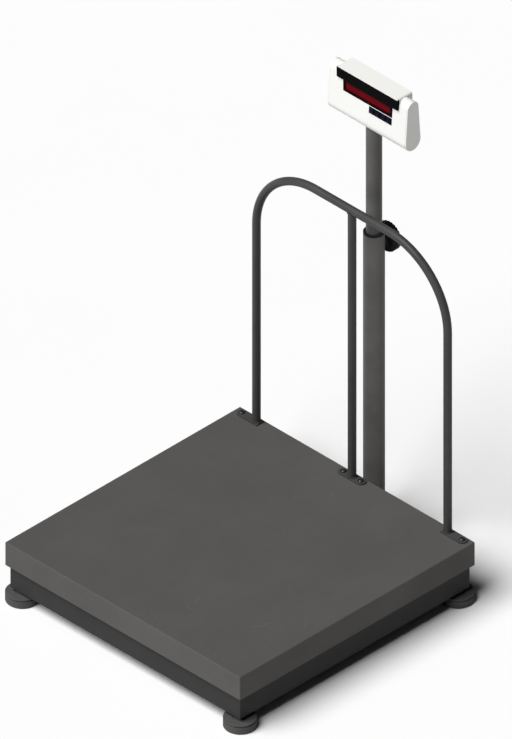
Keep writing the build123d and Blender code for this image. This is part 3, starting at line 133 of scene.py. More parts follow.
class Recipe:
    """A finish: the nodes that lead to one shader, with its constants on its own sockets."""

    MIX_FIRST, MIX_SECOND, MIX_RESULT = 6, 7, 2  # the Mix node's colour sockets

    def __init__(self, name, **constants):
        self.name = name
        self.material = bpy.data.materials.new(name)
        self.material.use_nodes = True
        self.tree = self.material.node_tree
        self.shader = self.tree.nodes["Principled BSDF"]
        for socket, value in constants.items():
            self.shader.inputs[socket.replace("_", " ")].default_value = value
        self.place = self.node("ShaderNodeTexCoord", output="Object")

    def node(self, kind, settings=None, inputs=None, output=0):
        """Adds a node: first its settings, then the values or links of its sockets."""
        made = self.tree.nodes.new(kind)
        for name, value in (settings or {}).items():
            setattr(made, name, value)
        for name, value in (inputs or {}).items():
            if isinstance(value, Value):
                self.tree.links.new(value.socket, made.inputs[name])
            else:
                made.inputs[name].default_value = value
        return Value(self, made.outputs[output])

    def feed(self, socket, value):
        """Leads a value to one of the shader's own sockets."""
        self.tree.links.new(value.socket, self.shader.inputs[socket])

    def stretched(self, size, turn=(0, 0, 0)):
        """Coordinates for a pattern that is drawn out: the size in metres of one of its
        features along each of its own axes, which are turned first."""
        return self.node("ShaderNodeMapping", {"vector_type": "TEXTURE"},
                         {"Vector": self.place, "Rotation": turn, "Scale": size})

    def noise(self, scale, detail=3.0, roughness=0.5, over=None):
        """Cloudy noise around 0.5, with features about 1/scale metres across."""
        return self.node("ShaderNodeTexNoise", {"noise_dimensions": "3D"},
                         {"Vector": over or self.place, "Scale": scale, "Detail": detail,
                          "Roughness": roughness})

    def cells(self, scale, feature):
        """A grain of rounded cells about 1/scale metres across."""
        return self.node("ShaderNodeTexVoronoi", {"feature": feature},
                         {"Vector": self.place, "Scale": scale}, "Distance")

    def band(self, value, low, high, start=0.0, end=1.0):
        """Rises smoothly from start to end as value goes from low to high."""
        return self.node("ShaderNodeMapRange", {"interpolation_type": "SMOOTHSTEP"},
                         {"Value": value, "From Min": low, "From Max": high,
                          "To Min": start, "To Max": end})

    def blend(self, mask, first, second):
        """The first colour where mask is 0, the second where it is 1."""
        colours = [c if isinstance(c, Value) else (*c, 1.0)[:4] for c in (first, second)]
        return self.node("ShaderNodeMix", {"data_type": "RGBA", "blend_type": "MIX"},
                         {0: mask, self.MIX_FIRST: colours[0], self.MIX_SECOND: colours[1]},
                         self.MIX_RESULT)

    def rim(self, radius, strength):
        """Strength along the piece's edges and 0 on its faces."""
        rounded = self.node("ShaderNodeBevel", {"samples": 4}, {"Radius": radius})
        plain = self.node("ShaderNodeNewGeometry", output="Normal")
        same = self.node("ShaderNodeVectorMath", {"operation": "DOT_PRODUCT"},
                         {0: rounded, 1: plain}, "Value")
        flat, folded = 0.97, 0.80
        return self.band(same, flat, folded, 0.0, strength)

    def upward(self):
        """1 on faces that look up."""
        normal = self.node("ShaderNodeNewGeometry", output="Normal")
        height = self.node("ShaderNodeSeparateXYZ", inputs={0: normal}, output=2)
        sloping, level = 0.75, 0.95
        return self.band(height, sloping, level)

    def raised(self, height, distance, strength):
        """Gives the surface this relief, distance metres deep."""
        self.feed("Normal", self.node("ShaderNodeBump", inputs={
            "Strength": strength, "Distance": distance, "Height": height}))


def shade(colour, amount):
    """The colour, made lighter or darker."""
    return tuple(min(1.0, part * amount) for part in colour)


# ---- finishes ------------------------------------------------------------------
CLOUDY = 0.3, 0.7  # nearly all of a noise's values lie between these


def powder_coat(name, colour, roughness, peel, sheen=0.09):
    """Baked powder paint: fine orange peel, as strong as peel says, a cloudy tone, and edges
    lightened, partly by polishing wear and partly as a painted highlight."""
    paint = Recipe(name, Specular_IOR_Level=sheen)
    cloud = paint.noise(14.0, detail=4.0, roughness=0.55)
    fleck = paint.noise(900.0, detail=2.0)
    tone = paint.band(cloud * 0.75 + fleck * 0.25, 0.32, 0.68)
    body = paint.blend(tone, shade(colour, 0.88), shade(colour, 1.12))
    # Lighter edges: partly polishing wear, partly a painted highlight that marks the edges.
    rim = paint.rim(1.6 * MM, 0.5)
    paint.feed("Base Color", paint.blend(rim, body, shade(colour, 1.7)))
    paint.feed("Roughness", paint.band(cloud, *CLOUDY, roughness - 0.06, roughness + 0.08))
    skin = paint.noise(330.0, detail=2.0, roughness=0.4)
    grit = paint.noise(1500.0, detail=1.0)
    paint.raised(skin * 0.7 + grit * 0.3, 0.35 * MM, peel)
    return paint


def trodden_paint(name, colour):
    """The pan's textured paint, with claw scratches and paths that paws have polished."""
    paint = Recipe(name, Specular_IOR_Level=0.09)
    cloud = paint.noise(7.0, detail=5.0, roughness=0.6)
    fleck = paint.noise(1100.0, detail=2.0)
    tone = paint.band(cloud * 0.5 + fleck * 0.5, 0.36, 0.64)
    body = paint.blend(tone, shade(colour, 0.93), shade(colour, 1.07))
    scratches = None
    for turn, wide, long in ((0.45, 2.6, 90.0), (1.75, 2.2, 60.0), (2.7, 3.0, 120.0)):
        drawn = paint.stretched((wide * MM, long * MM, 1.0), (0, 0, turn))
        streaks = paint.noise(1.0, detail=1.0, roughness=0.4, over=drawn)
        thin = paint.band(streaks, 0.74, 0.79)
        scratches = thin if scratches is None else scratches + thin
    worn = paint.band(paint.noise(5.0, detail=2.0), 0.47, 0.62)
    marks = scratches * worn * paint.upward() * 0.35
    # Lighter edges: partly wear, partly a painted highlight that marks the pan's edges.
    rim = paint.rim(2.0 * MM, 0.5)
    body = paint.blend(marks, body, shade(colour, 2.3))
    paint.feed("Base Color", paint.blend(rim, body, shade(colour, 1.6)))
    paint.feed("Roughness", paint.band(cloud, 0.35, 0.65, 0.62, 0.50) - worn * 0.07)
    skin = paint.cells(520.0, "SMOOTH_F1")
    grit = paint.noise(1500.0, detail=2.0)
    paint.raised(skin * 0.6 + grit * 0.4 - marks, 0.30 * MM, 0.6)
    return paint


def plated_steel(name, colour, roughness, lay=(16.0, 16.0, 1.0)):
    """Plated or bare metal with faint clouds and a lay, which is the size in millimetres of
    its fine lines along each axis."""
    metal = Recipe(name, Metallic=1.0)
    cloud = metal.noise(120.0, detail=4.0, roughness=0.6)
    drawn = metal.stretched([size * MM for size in lay])
    lines = metal.noise(1.0, detail=3.0, roughness=0.6, over=drawn)
    tone = metal.band(cloud * 0.6 + lines * 0.4, *CLOUDY)
    metal.feed("Base Color", metal.blend(tone, shade(colour, 0.8), shade(colour, 1.1)))
    metal.feed("Roughness", metal.band(lines, *CLOUDY, roughness - 0.08, roughness + 0.12))
    metal.raised(lines * 0.5 + cloud * 0.5, 0.03 * MM, 0.35)
    return metal


def blackened_steel(name, colour, roughness=0.42):
    """Black oxide: nearly black, a little oily, with brighter rubbed edges."""
    metal = Recipe(name, Metallic=0.6, Specular_IOR_Level=0.5)
    cloud = metal.noise(260.0, detail=4.0, roughness=0.6)
    rim = metal.rim(0.5 * MM, 0.7)
    dark = metal.blend(cloud, shade(colour, 0.7), shade(colour, 1.3))
    metal.feed("Base Color", metal.blend(rim, dark, shade(colour, 5.0)))
    metal.feed("Roughness", metal.band(cloud, *CLOUDY, roughness - 0.1, roughness + 0.1))
    metal.raised(metal.noise(1200.0, detail=2.0), 0.03 * MM, 0.4)
    return metal


def moulded(name, colour, roughness, texture, depth, rubbed_and_highlight=1.15, sheen=0.06):
    """Injection-moulded plastic with a spark-eroded grain, so many grains to the metre and so
    many millimetres deep, and edges lightened as a painted highlight, partly rubbed wear."""
    plastic = Recipe(name, Specular_IOR_Level=sheen)
    flow = plastic.noise(18.0)
    grain = plastic.cells(texture, "SMOOTH_F1")
    fine = plastic.noise(texture * 1.7, detail=2.0)
    body = plastic.blend(flow, shade(colour, 0.965), shade(colour, 1.03))
    # Edges lightened: a painted highlight, partly rubbed wear.
    rim = plastic.rim(0.8 * MM, 0.6)
    plastic.feed("Base Color", plastic.blend(rim, body, shade(colour, rubbed_and_highlight)))
    plastic.feed("Roughness", plastic.band(flow - rim * 0.3, 0.2, 0.7,
                                           roughness - 0.06, roughness + 0.06))
    plastic.raised(grain * 0.5 + fine * 0.5, depth * MM, 0.5)
    return plastic


def head_shell(name, colour):
    """White ABS: fine grain, yellowed a little in places, with faint handling marks."""
    plastic = Recipe(name, Specular_IOR_Level=0.35, Subsurface_Weight=0.04)
    plastic.shader.inputs["Subsurface Radius"].default_value = (2 * MM, 1.5 * MM, 1 * MM)
    flow = plastic.noise(11.0, detail=4.0, roughness=0.55)
    aged = plastic.band(flow, 0.42, 0.72)
    body = plastic.blend(aged, colour, (colour[0], colour[1] * 0.992, colour[2] * 0.965))
    handled = plastic.noise(46.0, detail=5.0, roughness=0.65)
    touch = plastic.band(handled, 0.60, 0.78, 0.0, 0.10)
    body = plastic.blend(touch, body, shade(colour, 0.72))
    plastic.feed("Base Color", body)
    plastic.feed("Roughness", plastic.band(flow, *CLOUDY, 0.38, 0.50) - touch)
    grain = plastic.cells(1250.0, "SMOOTH_F1")
    fine = plastic.noise(2100.0, detail=2.0)
    plastic.raised(grain * 0.55 + fine * 0.45, 0.045 * MM, 0.45)
    return plastic


def soft_rubber(name, colour, roughness=0.75):
    """Moulded rubber: matt, dusty in patches, scuffed at its edges."""
    rubber = Recipe(name, Specular_IOR_Level=0.2)
    patches = rubber.noise(60.0, detail=5.0, roughness=0.65)
    dust = rubber.band(patches, 0.42, 0.72, 0.0, 0.5)
    rim = rubber.rim(1.2 * MM, 0.5)
    body = rubber.blend(dust, colour, shade(colour, 1.35))
    rubber.feed("Base Color", rubber.blend(rim, body, shade(colour, 1.6)))
    rubber.feed("Roughness", rubber.band(dust, 0.0, 0.5, roughness - 0.08, roughness + 0.1))
    rubber.raised(rubber.noise(700.0), 0.08 * MM, 0.5)
    return rubber


def tinted_window(name):
    """The display's window: deep red acrylic, polished, with faint wiping marks."""
    acrylic = Recipe(name, IOR=1.49, Transmission_Weight=0.04, Specular_IOR_Level=0.01)
    depth = acrylic.noise(24.0, detail=2.0)
    drawn = acrylic.stretched((25 * MM, 25 * MM, 1 * MM), (0.2, 0, 0.6))
    wiped = acrylic.noise(1.0, detail=3.0, roughness=0.6, over=drawn)
    deep_red, red = (0.088, 0.000, 0.002), (0.122, 0.000, 0.004)
    acrylic.feed("Base Color", acrylic.blend(depth, deep_red, red))
    acrylic.feed("Roughness", acrylic.band(wiped, 0.45, 0.8, 0.10, 0.22))
    acrylic.raised(wiped, 0.01 * MM, 0.15)
    return acrylic


def printed_board(name, colour):
    """A circuit board: solder mask over rows of copper tracks."""
    board = Recipe(name, Specular_IOR_Level=0.5)
    tracks = board.cells(260.0, "DISTANCE_TO_EDGE")
    copper = board.band(tracks, 0.05, 0.09, 1.0, 0.0)
    board.feed("Base Color", board.blend(copper, colour, shade(colour, 2.2)))
    board.feed("Roughness", board.band(copper, 0.0, 1.0, 0.35, 0.28))
    board.raised(copper, 0.05 * MM, 0.5)
    return board


def weld_metal(name, colour):
    """Weld under paint: the paint's colour, a little uneven and slightly glossier."""
    bead = Recipe(name, Specular_IOR_Level=0.3)
    cloud = bead.noise(400.0, detail=4.0, roughness=0.6)
    bead.feed("Base Color", bead.blend(cloud, shade(colour, 0.75), shade(colour, 1.2)))
    bead.feed("Roughness", bead.band(cloud, *CLOUDY, 0.36, 0.5))
    bead.raised(bead.noise(900.0), 0.08 * MM, 0.6)
    return bead


PAN_GREY = (0.0775, 0.0743, 0.0708)
FRAME_GREY = (0.029, 0.029, 0.0286)
RAIL_GREY = (0.047, 0.047, 0.0465)
# The pillar's grey is lighter than the pan's to make up for the floor light the pan keeps off it:
# painted light.
PILLAR_GREY_PAINTED_LIGHTER = (0.138, 0.132, 0.1263)
STEEL_GREY = (0.099, 0.097, 0.095)

finishes = {finish.name: finish for finish in (
    trodden_paint("pan_paint", PAN_GREY),
    powder_coat("frame_paint", FRAME_GREY, 0.52, 0.6),
    powder_coat("rail_paint", RAIL_GREY, 0.42, 0.4, sheen=0.14),
    powder_coat("pillar_paint", PILLAR_GREY_PAINTED_LIGHTER, 0.46, 0.45, sheen=0.05),
    powder_coat("inner_tube_steel", STEEL_GREY, 0.36, 0.25, sheen=0.06),
    plated_steel("zinc_steel", (0.60, 0.60, 0.58), 0.34),
    blackened_steel("black_screws", (0.030, 0.030, 0.032)),
    plated_steel("cell_aluminium", (0.72, 0.73, 0.74), 0.38, lay=(1.0, 16.0, 16.0)),
    soft_rubber("foot_rubber", (0.058, 0.058, 0.057)),
    soft_rubber("grommet_rubber", (0.020, 0.020, 0.020)),
    moulded("black_nylon", (0.018, 0.018, 0.019), 0.50, 900.0, 0.05, 1.8),
    moulded("knob_plastic", (0.012, 0.012, 0.013), 0.40, 800.0, 0.06, 2.2),
    plated_steel("brass", (0.72, 0.52, 0.22), 0.30),
    head_shell("head_plastic", (0.725, 0.725, 0.711)),
    moulded("bezel_plastic", (0.0018, 0.0016, 0.0016), 0.34, 1500.0, 0.02, 2.5, 0.015),
    tinted_window("red_window"),
    moulded("led_plastic", (0.035, 0.030, 0.030), 0.40, 1500.0, 0.02),
    printed_board("circuit_board", (0.010, 0.070, 0.030)),
    moulded("keypad_plastic", (0.0020, 0.0020, 0.0050), 0.36, 1500.0, 0.02, 2.2, 0.02),
    moulded("key_plastic", (0.0048, 0.0052, 0.0150), 0.42, 1300.0, 0.03, 2.0, 0.02),
    moulded("battery_wrap", (0.020, 0.055, 0.160), 0.35, 600.0, 0.03),
    moulded("switch_plastic", (0.010, 0.010, 0.011), 0.38, 1200.0, 0.03, 2.0),
)}
weld_paint = weld_metal("weld_paint", FRAME_GREY)
segment_white = moulded("segment_white", (0.20, 0.17, 0.16), 0.50, 1500.0, 0.02)
mark_white = moulded("mark_white", (0.75, 0.75, 0.73), 0.45, 1500.0, 0.02)
chrome = plated_steel("chrome", (0.80, 0.80, 0.82), 0.16)


# ---- how a piece is made -------------------------------------------------------
def middle(low, high):
    """The middle of a box."""
    return (low + high) / 2


def half_width(low, high):
    """Half of a box's width, which is the radius of a round piece."""
    return (high.x - low.x) / 2


def along(origin, direction):
    """A place at origin whose own Z axis runs along direction."""
    turn = Vector(direction).to_track_quat("Z", "Y").to_matrix().to_4x4()
    return Matrix.Translation(origin) @ turn


def skin(bm, rings, closed=False):
    """Faces between neighbouring rings of points. If closed, the last ring joins the first;
    otherwise both ends get a face."""
    pairs = list(zip(rings, rings[1:]))
    if closed:
        pairs.append((rings[-1], rings[0]))
    else:
        bm.faces.new(rings[0][::-1])
        bm.faces.new(rings[-1])
    for low, high in pairs:
        for step in range(len(low)):
            after = (step + 1) % len(low)
            bm.faces.new((low[step], low[after], high[after], high[step]))


def turned(bm, place, stack, segments=48, hollow=False):
    """A turned shape: one ring for each (height, radius), either of which may be a function
    of the angle. A hollow one joins its last ring to its first."""
    rings = []
    for height, radius in stack:
        ring = []
        for step in range(segments):
            angle = TURN * step / segments
            r = radius(angle) if callable(radius) else radius
            z = height(angle) if callable(height) else height
            ring.append(bm.verts.new(place @ Vector((r * math.cos(angle), r * math.sin(angle), z))))
        rings.append(ring)
    skin(bm, rings, hollow)


def slab(bm, place, outline, thickness, edge):
    """A flat plate over an outline in the place's XY plane, with its upper edge chamfered."""
    corner_pull = 1.3  # corners move further in than the sides between them
    centre = sum((Vector(point) for point in outline), Vector((0, 0))) / len(outline)
    rings = []
    for height, inset in ((0.0, 0.0), (thickness - edge, 0.0), (thickness, edge)):
        ring = []
        for point in outline:
            inward = (centre - Vector(point)).normalized()
            moved = Vector(point) + inward * inset * corner_pull
            ring.append(bm.verts.new(place @ Vector((moved.x, moved.y, height))))
        rings.append(ring)
    skin(bm, rings)


def piece(name, bm, finish, body, instead_of=()):
    """Turns a bmesh into a piece that rides on a body and may stand for CAD nodes."""
    bmesh.ops.recalc_face_normals(bm, faces=bm.faces)
    smooth_below = math.radians(32)
    for edge in bm.edges:
        edge.smooth = edge.calc_face_angle(0.0) < smooth_below
    for face in bm.faces:
        face.smooth = True
    mesh = bpy.data.meshes.new(name)
    bm.to_mesh(mesh)
    bm.free()
    mesh.materials.append(finish.material)
    made = bpy.data.objects.new(name, mesh)
    bpy.context.scene.collection.objects.link(made)
    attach(made, body)
    if instead_of:
        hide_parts(*instead_of)


def solids_of(node):
    """The lowest and highest corner of each separate solid in a CAD node."""
    bm = bmesh.new()
    bm.from_mesh(nodes[node].data)
    bmesh.ops.remove_doubles(bm, verts=bm.verts, dist=0.001 * MM)
    bm.verts.index_update()
    seen = set()
    boxes = []
    for start in bm.verts:
        if start.index in seen:
            continue
        seen.add(start.index)
        patch = [start]
        for vert in patch:
            for edge in vert.link_edges:
                other = edge.other_vert(vert)
                if other.index not in seen:
                    seen.add(other.index)
                    patch.append(other)
        low = Vector([min(v.co[axis] for v in patch) for axis in range(3)])
        high = Vector([max(v.co[axis] for v in patch) for axis in range(3)])
        boxes.append((low, high))
    bm.free()
    return sorted(boxes, key=lambda box: tuple(round(part, 5) for part in (*box[0], *box[1])))


def surface_point(node, start, direction):
    """Where a line from start first meets a CAD node, and which way the surface faces."""
    mesh = nodes[node].data
    tree = BVHTree.FromPolygons([v.co for v in mesh.vertices],
                                [tuple(p.vertices) for p in mesh.polygons])
    point, normal, _, _ = tree.ray_cast(start, direction)
    return point, normal


# ---- what fasteners are made of -------------------------------------------------
def hexagon(flats):
    """The radius of a hexagon at an angle."""
    def radius(angle):
        off = (angle + TURN / 12) % (TURN / 6) - TURN / 12
        return flats / 2 / math.cos(off)
    return radius


def chamfered(flats):
    """How far below its top a hexagon's chamfer reaches at an angle."""
    corner, crown = hexagon(flats), 0.475 * flats

    def depth(angle):
        return (corner(angle) - crown) * math.tan(math.radians(30))
    return depth


def hex_nut(bm, place, flats, bore, height):
    """A nut chamfered on both faces and at both ends of its thread."""
    corner, drop = hexagon(flats), chamfered(flats)
    crown = 0.475 * flats
    lead = 0.08 * height
    stack = [(lead, bore), (0, bore + lead), (0, crown), (drop, corner),
             (lambda angle: height - drop(angle), corner), (height, crown),
             (height, bore + lead), (height - lead, bore)]
    turned(bm, place, stack, hollow=True)


def hex_head(bm, place, flats, height):
    """A bolt's head on its washer; the place's Z axis points away from the seat."""
    washer, washer_edge, fillet, dish = 1.2 * MM, 0.62 * flats, 0.2 * MM, 0.25 * MM
    turned(bm, place, [(0, 0.42 * flats), (0, washer_edge), (0.9 * washer, washer_edge),
                       (washer, 0.60 * flats), (washer, 0.42 * flats)])
    corner, drop = hexagon(flats), chamfered(flats)
    turned(bm, place, [(washer, 0.5 * flats), (washer + fillet, corner),
                       (lambda angle: height - drop(angle), corner),
                       (height, 0.475 * flats), (height - dish, 0.40 * flats)])


def threaded(bm, place, radius, pitch, length):
    """A threaded bar with a chamfered end."""
    rings = 6 * max(2, round(length / pitch))
    depth = 0.54 * pitch

    def thread(height):
        lead = min(1.0, (length - height) / pitch) * 0.5 + 0.5

        def at(angle):
            turn = (height / pitch - angle / TURN) % 1.0
            return radius * lead ** 0.3 - depth * abs(2 * turn - 1)
        return at
    heights = [length * step / rings for step in range(rings + 1)]
    turned(bm, place, [(height, thread(height)) for height in heights], 24)


def domed_screw(bm, place, radius, dome, flats):
    """A button head with a hexagon socket; the place's Z axis points out of the head."""
    socket = hexagon(flats)
    steps, foot = 8, 0.25 * MM
    start = math.asin(min(1.0, flats * 0.62 / radius))
    stack = [(0, radius * 0.96), (foot, radius)]
    for step in range(1, steps + 1):
        angle = math.pi / 2 - (math.pi / 2 - start) * step / steps
        stack.append((foot + (dome - foot) * math.cos(angle) / math.cos(start),
                      radius * math.sin(angle)))
    stack += [(dome * 0.99, lambda angle: socket(angle) + 0.15 * MM), (dome * 0.94, socket),
              (dome * 0.38, socket), (dome * 0.30, flats * 0.30)]
    turned(bm, place, stack, 60)


def weld_bead(bm, points, centre, radius, closed=True):
    """A rippled bead along points; centre(point) is what the bead goes round."""
    count = len(points)
    rings = []
    run = 0.0
    for step, point in enumerate(points):
        before = points[step - 1] if closed or step else point
        after = points[(step + 1) % count] if closed or step < count - 1 else point
        run += (point - before).length
        ahead = (after - before).normalized()
        out = point - centre(point)
        out = (out - ahead * out.dot(ahead)).normalized()
        up = ahead.cross(out)
        ripple = 0.10 * math.sin(TURN * run / BEAD_RIPPLE)
        swell = radius * (1 + ripple + chance.uniform(-0.05, 0.05))
        turns = [TURN * side / BEAD_SIDES for side in range(BEAD_SIDES)]
        rings.append([bm.verts.new(point + swell * (out * math.cos(turn) + up * math.sin(turn)))
                      for turn in turns])
    skin(bm, rings, closed)


def ring_of(centre, radius):
    """Points around a level circle, as far apart as the rings of a bead."""
    place = along(centre, UP)
    count = int(TURN * radius / BEAD_STEP)
    return [place @ Vector((radius * math.cos(TURN * step / count),
                            radius * math.sin(TURN * step / count), 0))
            for step in range(count)]


# ---- parts that keep their solid shape -------------------------------------------
SOFTENED = {  # how far the edges of each are rounded, in millimetres
    "pillar_bracket": 0.5, "pillar_base_flange": 0.8,
    "rail_foot_plates": 0.5, "clamp_boss": 0.5, "pillar_guide_bush": 0.5, "cable_grommet": 0.5,
    "head_front_shell": 0.5, "head_rear_cover": 0.6, "head_end_caps": 0.9, "display_bezel": 0.6,
    "display_window": 0.25, "keypad_frame": 0.25, "power_key": 0.4, "zero_key": 0.4,
    "tare_key": 0.4, "hold_key": 0.4, "battery_door": 0.4, "power_switch_case": 0.2,
    "power_rocker": 0.2, "power_inlet": 0.4, "load_cell": 0.8, "load_cell_spacers": 0.4,
    "inner_tube": 0.3,
}
SAME_POINT = 0.002 * MM
LEVEL_WITHIN = math.radians(0.2)
SHARP_OVER = math.radians(40)


def dress_solids():
    """Gives each carried-over solid its finish, and rounds the sharp edges of those that show."""
    for node, shape in nodes.items():
        for place in shape.material_slots:
            place.material = finishes[slot_of[node]].material
        if node not in SOFTENED:
            continue
        shape.modifiers.new("join", "WELD").merge_threshold = SAME_POINT
        flatten = shape.modifiers.new("flatten", "DECIMATE")
        flatten.decimate_type = "DISSOLVE"
        flatten.angle_limit = LEVEL_WITHIN
        soften = shape.modifiers.new("soften", "BEVEL")
        soften.width = SOFTENED[node] * MM
        soften.segments = 2
        soften.limit_method = "ANGLE"
        soften.angle_limit = SHARP_OVER
        soften.use_clamp_overlap = True
        shape.modifiers.new("close", "WELD").merge_threshold = SAME_POINT
        shape.modifiers.new("even", "WEIGHTED_NORMAL").keep_sharp = True


# ---- feet --------------------------------------------------------------------------
def make_feet():
    """Moulded pads on threaded studs, held by lock nuts."""
    rounding, shoulder = 0.8 * MM, 0.4 * MM
    groove_drop, groove_width, groove_depth = 5.0 * MM, 1.8 * MM, 2.2 * MM
    hollow, dish, collar_drop, stud_gap = 1.4 * MM, 0.9 * MM, 0.2 * MM, 0.25 * MM
    for corner in ("front_left", "front_right", "rear_left", "rear_right"):
        low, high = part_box(f"foot_pad_{corner}")
        x, y, _ = middle(low, high)
        radius, height = half_width(low, high), high.z
        stud_low, stud_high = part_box(f"foot_stud_{corner}")
        stud = half_width(stud_low, stud_high)
        groove = height - groove_drop
        stack = [(hollow, radius * 0.60), (0, radius * 0.64), (0, radius - 2.4 * MM),
                 (0.8 * MM, radius - 0.7 * MM), (1.8 * MM, radius),
                 (groove - shoulder, radius), (groove, radius - shoulder),
                 (groove, radius - groove_depth),
                 (groove + groove_width, radius - groove_depth),
                 (groove + groove_width, radius - shoulder),
                 (groove + groove_width + shoulder, radius)]
        stack += [(height - rounding * (1 - math.sin(a)), radius - rounding * (1 - math.cos(a)))
                  for a in (0.0, 0.4, 0.8, 1.2, math.pi / 2)]
        stack += [(height, radius * 0.46), (height - dish, radius * 0.43),
                  (height - dish, stud * 1.55), (height - collar_drop, stud * 1.42),
                  (height - collar_drop, stud + stud_gap), (6.0 * MM, stud + stud_gap)]
        bm = bmesh.new()
        turned(bm, along((x, y, 0), UP), stack, 96)
        piece(f"foot_{corner}", bm, finishes["foot_rubber"], f"foot_pad_{corner}",
              [f"foot_pad_{corner}"])
        bm = bmesh.new()
        threaded(bm, along((x, y, stud_low.z), UP), stud, M12_PITCH, stud_high.z - stud_low.z)
        piece(f"foot_thread_{corner}", bm, finishes["zinc_steel"], f"foot_stud_{corner}",
              [f"foot_stud_{corner}"])
    bm = bmesh.new()
    for low, high in solids_of("foot_lock_nuts"):
        flats = min(high.x - low.x, high.y - low.y)
        x, y, _ = middle(low, high)
        hex_nut(bm, along((x, y, low.z), UP), flats, stud + THREAD_PLAY, high.z - low.z)
    piece("foot_nuts", bm, finishes["zinc_steel"], "frame", ["foot_lock_nuts"])


# ---- guard rail ----------------------------------------------------------------------
def make_rail_fittings():
    """Screws with sockets, and the beads that hold the rail's legs and middle post."""
    socket_flats = 4.0 * MM
    bm = bmesh.new()
    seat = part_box("rail_foot_plates")[1].z
    for low, high in solids_of("rail_screws"):
        x, y, _ = middle(low, high)
        domed_screw(bm, along((x, y, seat), UP), half_width(low, high), high.z - seat,
                    socket_flats)
    piece("rail_button_screws", bm, finishes["black_screws"], "frame", ["rail_screws"])
    hoop_low, hoop_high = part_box("rail_hoop")
    tube = half_width(*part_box("rail_centre_post"))
    y = middle(hoop_low, hoop_high).y
    foot_bead, foot_raised, foot_gap = 1.5 * MM, 0.3 * MM, 0.5 * MM
    bm = bmesh.new()
    for x in (hoop_low.x + tube, 0.0, hoop_high.x - tube):
        foot = Vector((x, y, seat + foot_raised))
        weld_bead(bm, ring_of(foot, tube + foot_gap), lambda p, f=foot: f, foot_bead)
    hoop_axis = hoop_high.z - tube
    saddle_bead, reach, sunk, count = 1.4 * MM, tube + 0.3 * MM, 0.4 * MM, 120
    saddle = []
    for step in range(count):
        angle = TURN * step / count
        drop = math.sqrt(max(0.0, tube ** 2 - (tube * math.sin(angle)) ** 2))
        saddle.append(Vector((reach * math.cos(angle), y + reach * math.sin(angle),
                              hoop_axis - drop - sunk)))
    weld_bead(bm, saddle, lambda p: Vector((0, y, p.z)), saddle_bead)
    piece("rail_welds", bm, weld_paint, "frame")


# ---- pillar ----------------------------------------------------------------------------
def make_pillar_fittings():
    """Bolts with washers, threads, and the pillar's, boss's and bracket's beads."""
    tube_low, tube_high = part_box("pillar_outer_tube")
    axis_y = middle(tube_low, tube_high).y
    radius = half_width(tube_low, tube_high)
    flange_low, flange_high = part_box("pillar_base_flange")
    foot_bead, boss_bead, bracket_bead, raised = 1.9 * MM, 1.2 * MM, 1.5 * MM, 0.4 * MM
    bm = bmesh.new()
    foot = Vector((0, axis_y, flange_high.z + raised))
    weld_bead(bm, ring_of(foot, radius + 0.6 * MM), lambda p: foot, foot_bead)
    boss_low, boss_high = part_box("clamp_boss")
    boss, level = half_width(boss_low, boss_high), middle(boss_low, boss_high).z
    around, proud, count = 1.04, 0.3 * MM, 130
    seam = []
    for step in range(count):
        angle = TURN * step / count
        across = boss * math.cos(angle)
        deep = math.sqrt(radius ** 2 - across ** 2)
        seam.append(Vector((around * across, axis_y + deep + proud,
                            level + around * boss * math.sin(angle))))
    weld_bead(bm, seam, lambda p: Vector((0, p.y, level)), boss_bead)
    bracket_low, bracket_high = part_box("pillar_bracket")
    wall = 4.0 * MM
    seat = bracket_low.y + wall
    inner = bracket_high.x - wall - raised
    start, spacing, count = seat + 0.6 * MM, 0.44 * MM, 170
    for side in (-1, 1):
        line = [Vector((side * inner, start + step * spacing, flange_low.z + raised))
                for step in range(count)]
        weld_bead(bm, line, lambda p: p + Vector((side, 0, 1)), bracket_bead, closed=False)
    piece("pillar_welds", bm, weld_paint, "frame")

    bm = bmesh.new()
    chamfer, tallest_nut = 0.6 * MM, 8.0 * MM
    for low, high in solids_of("bracket_bolts"):
        x, _, z = middle(low, high)
        hex_head(bm, along((x, seat, z), BACKWARD), M8_FLATS, high.y - seat)
        turned(bm, along((x, seat, z), FORWARD),
               [(0, M8_RADIUS), (seat - low.y - chamfer, M8_RADIUS),
                (seat - low.y, M8_RADIUS - chamfer)], 24)
    for low, high in solids_of("pillar_base_bolts"):
        x, y, _ = middle(low, high)
        if high.z - low.z < tallest_nut:
            hex_nut(bm, along((x, y, low.z), UP), M8_FLATS, M8_RADIUS + THREAD_PLAY,
                    high.z - low.z)
            continue
        head = (x, y, flange_high.z)
        hex_head(bm, along(head, UP), M8_FLATS, high.z - flange_high.z)
        threaded(bm, along(head, DOWN), M8_RADIUS, M8_PITCH, flange_high.z - low.z)
    piece("pillar_bolts", bm, finishes["zinc_steel"], "frame",
          ["bracket_bolts", "pillar_base_bolts"])


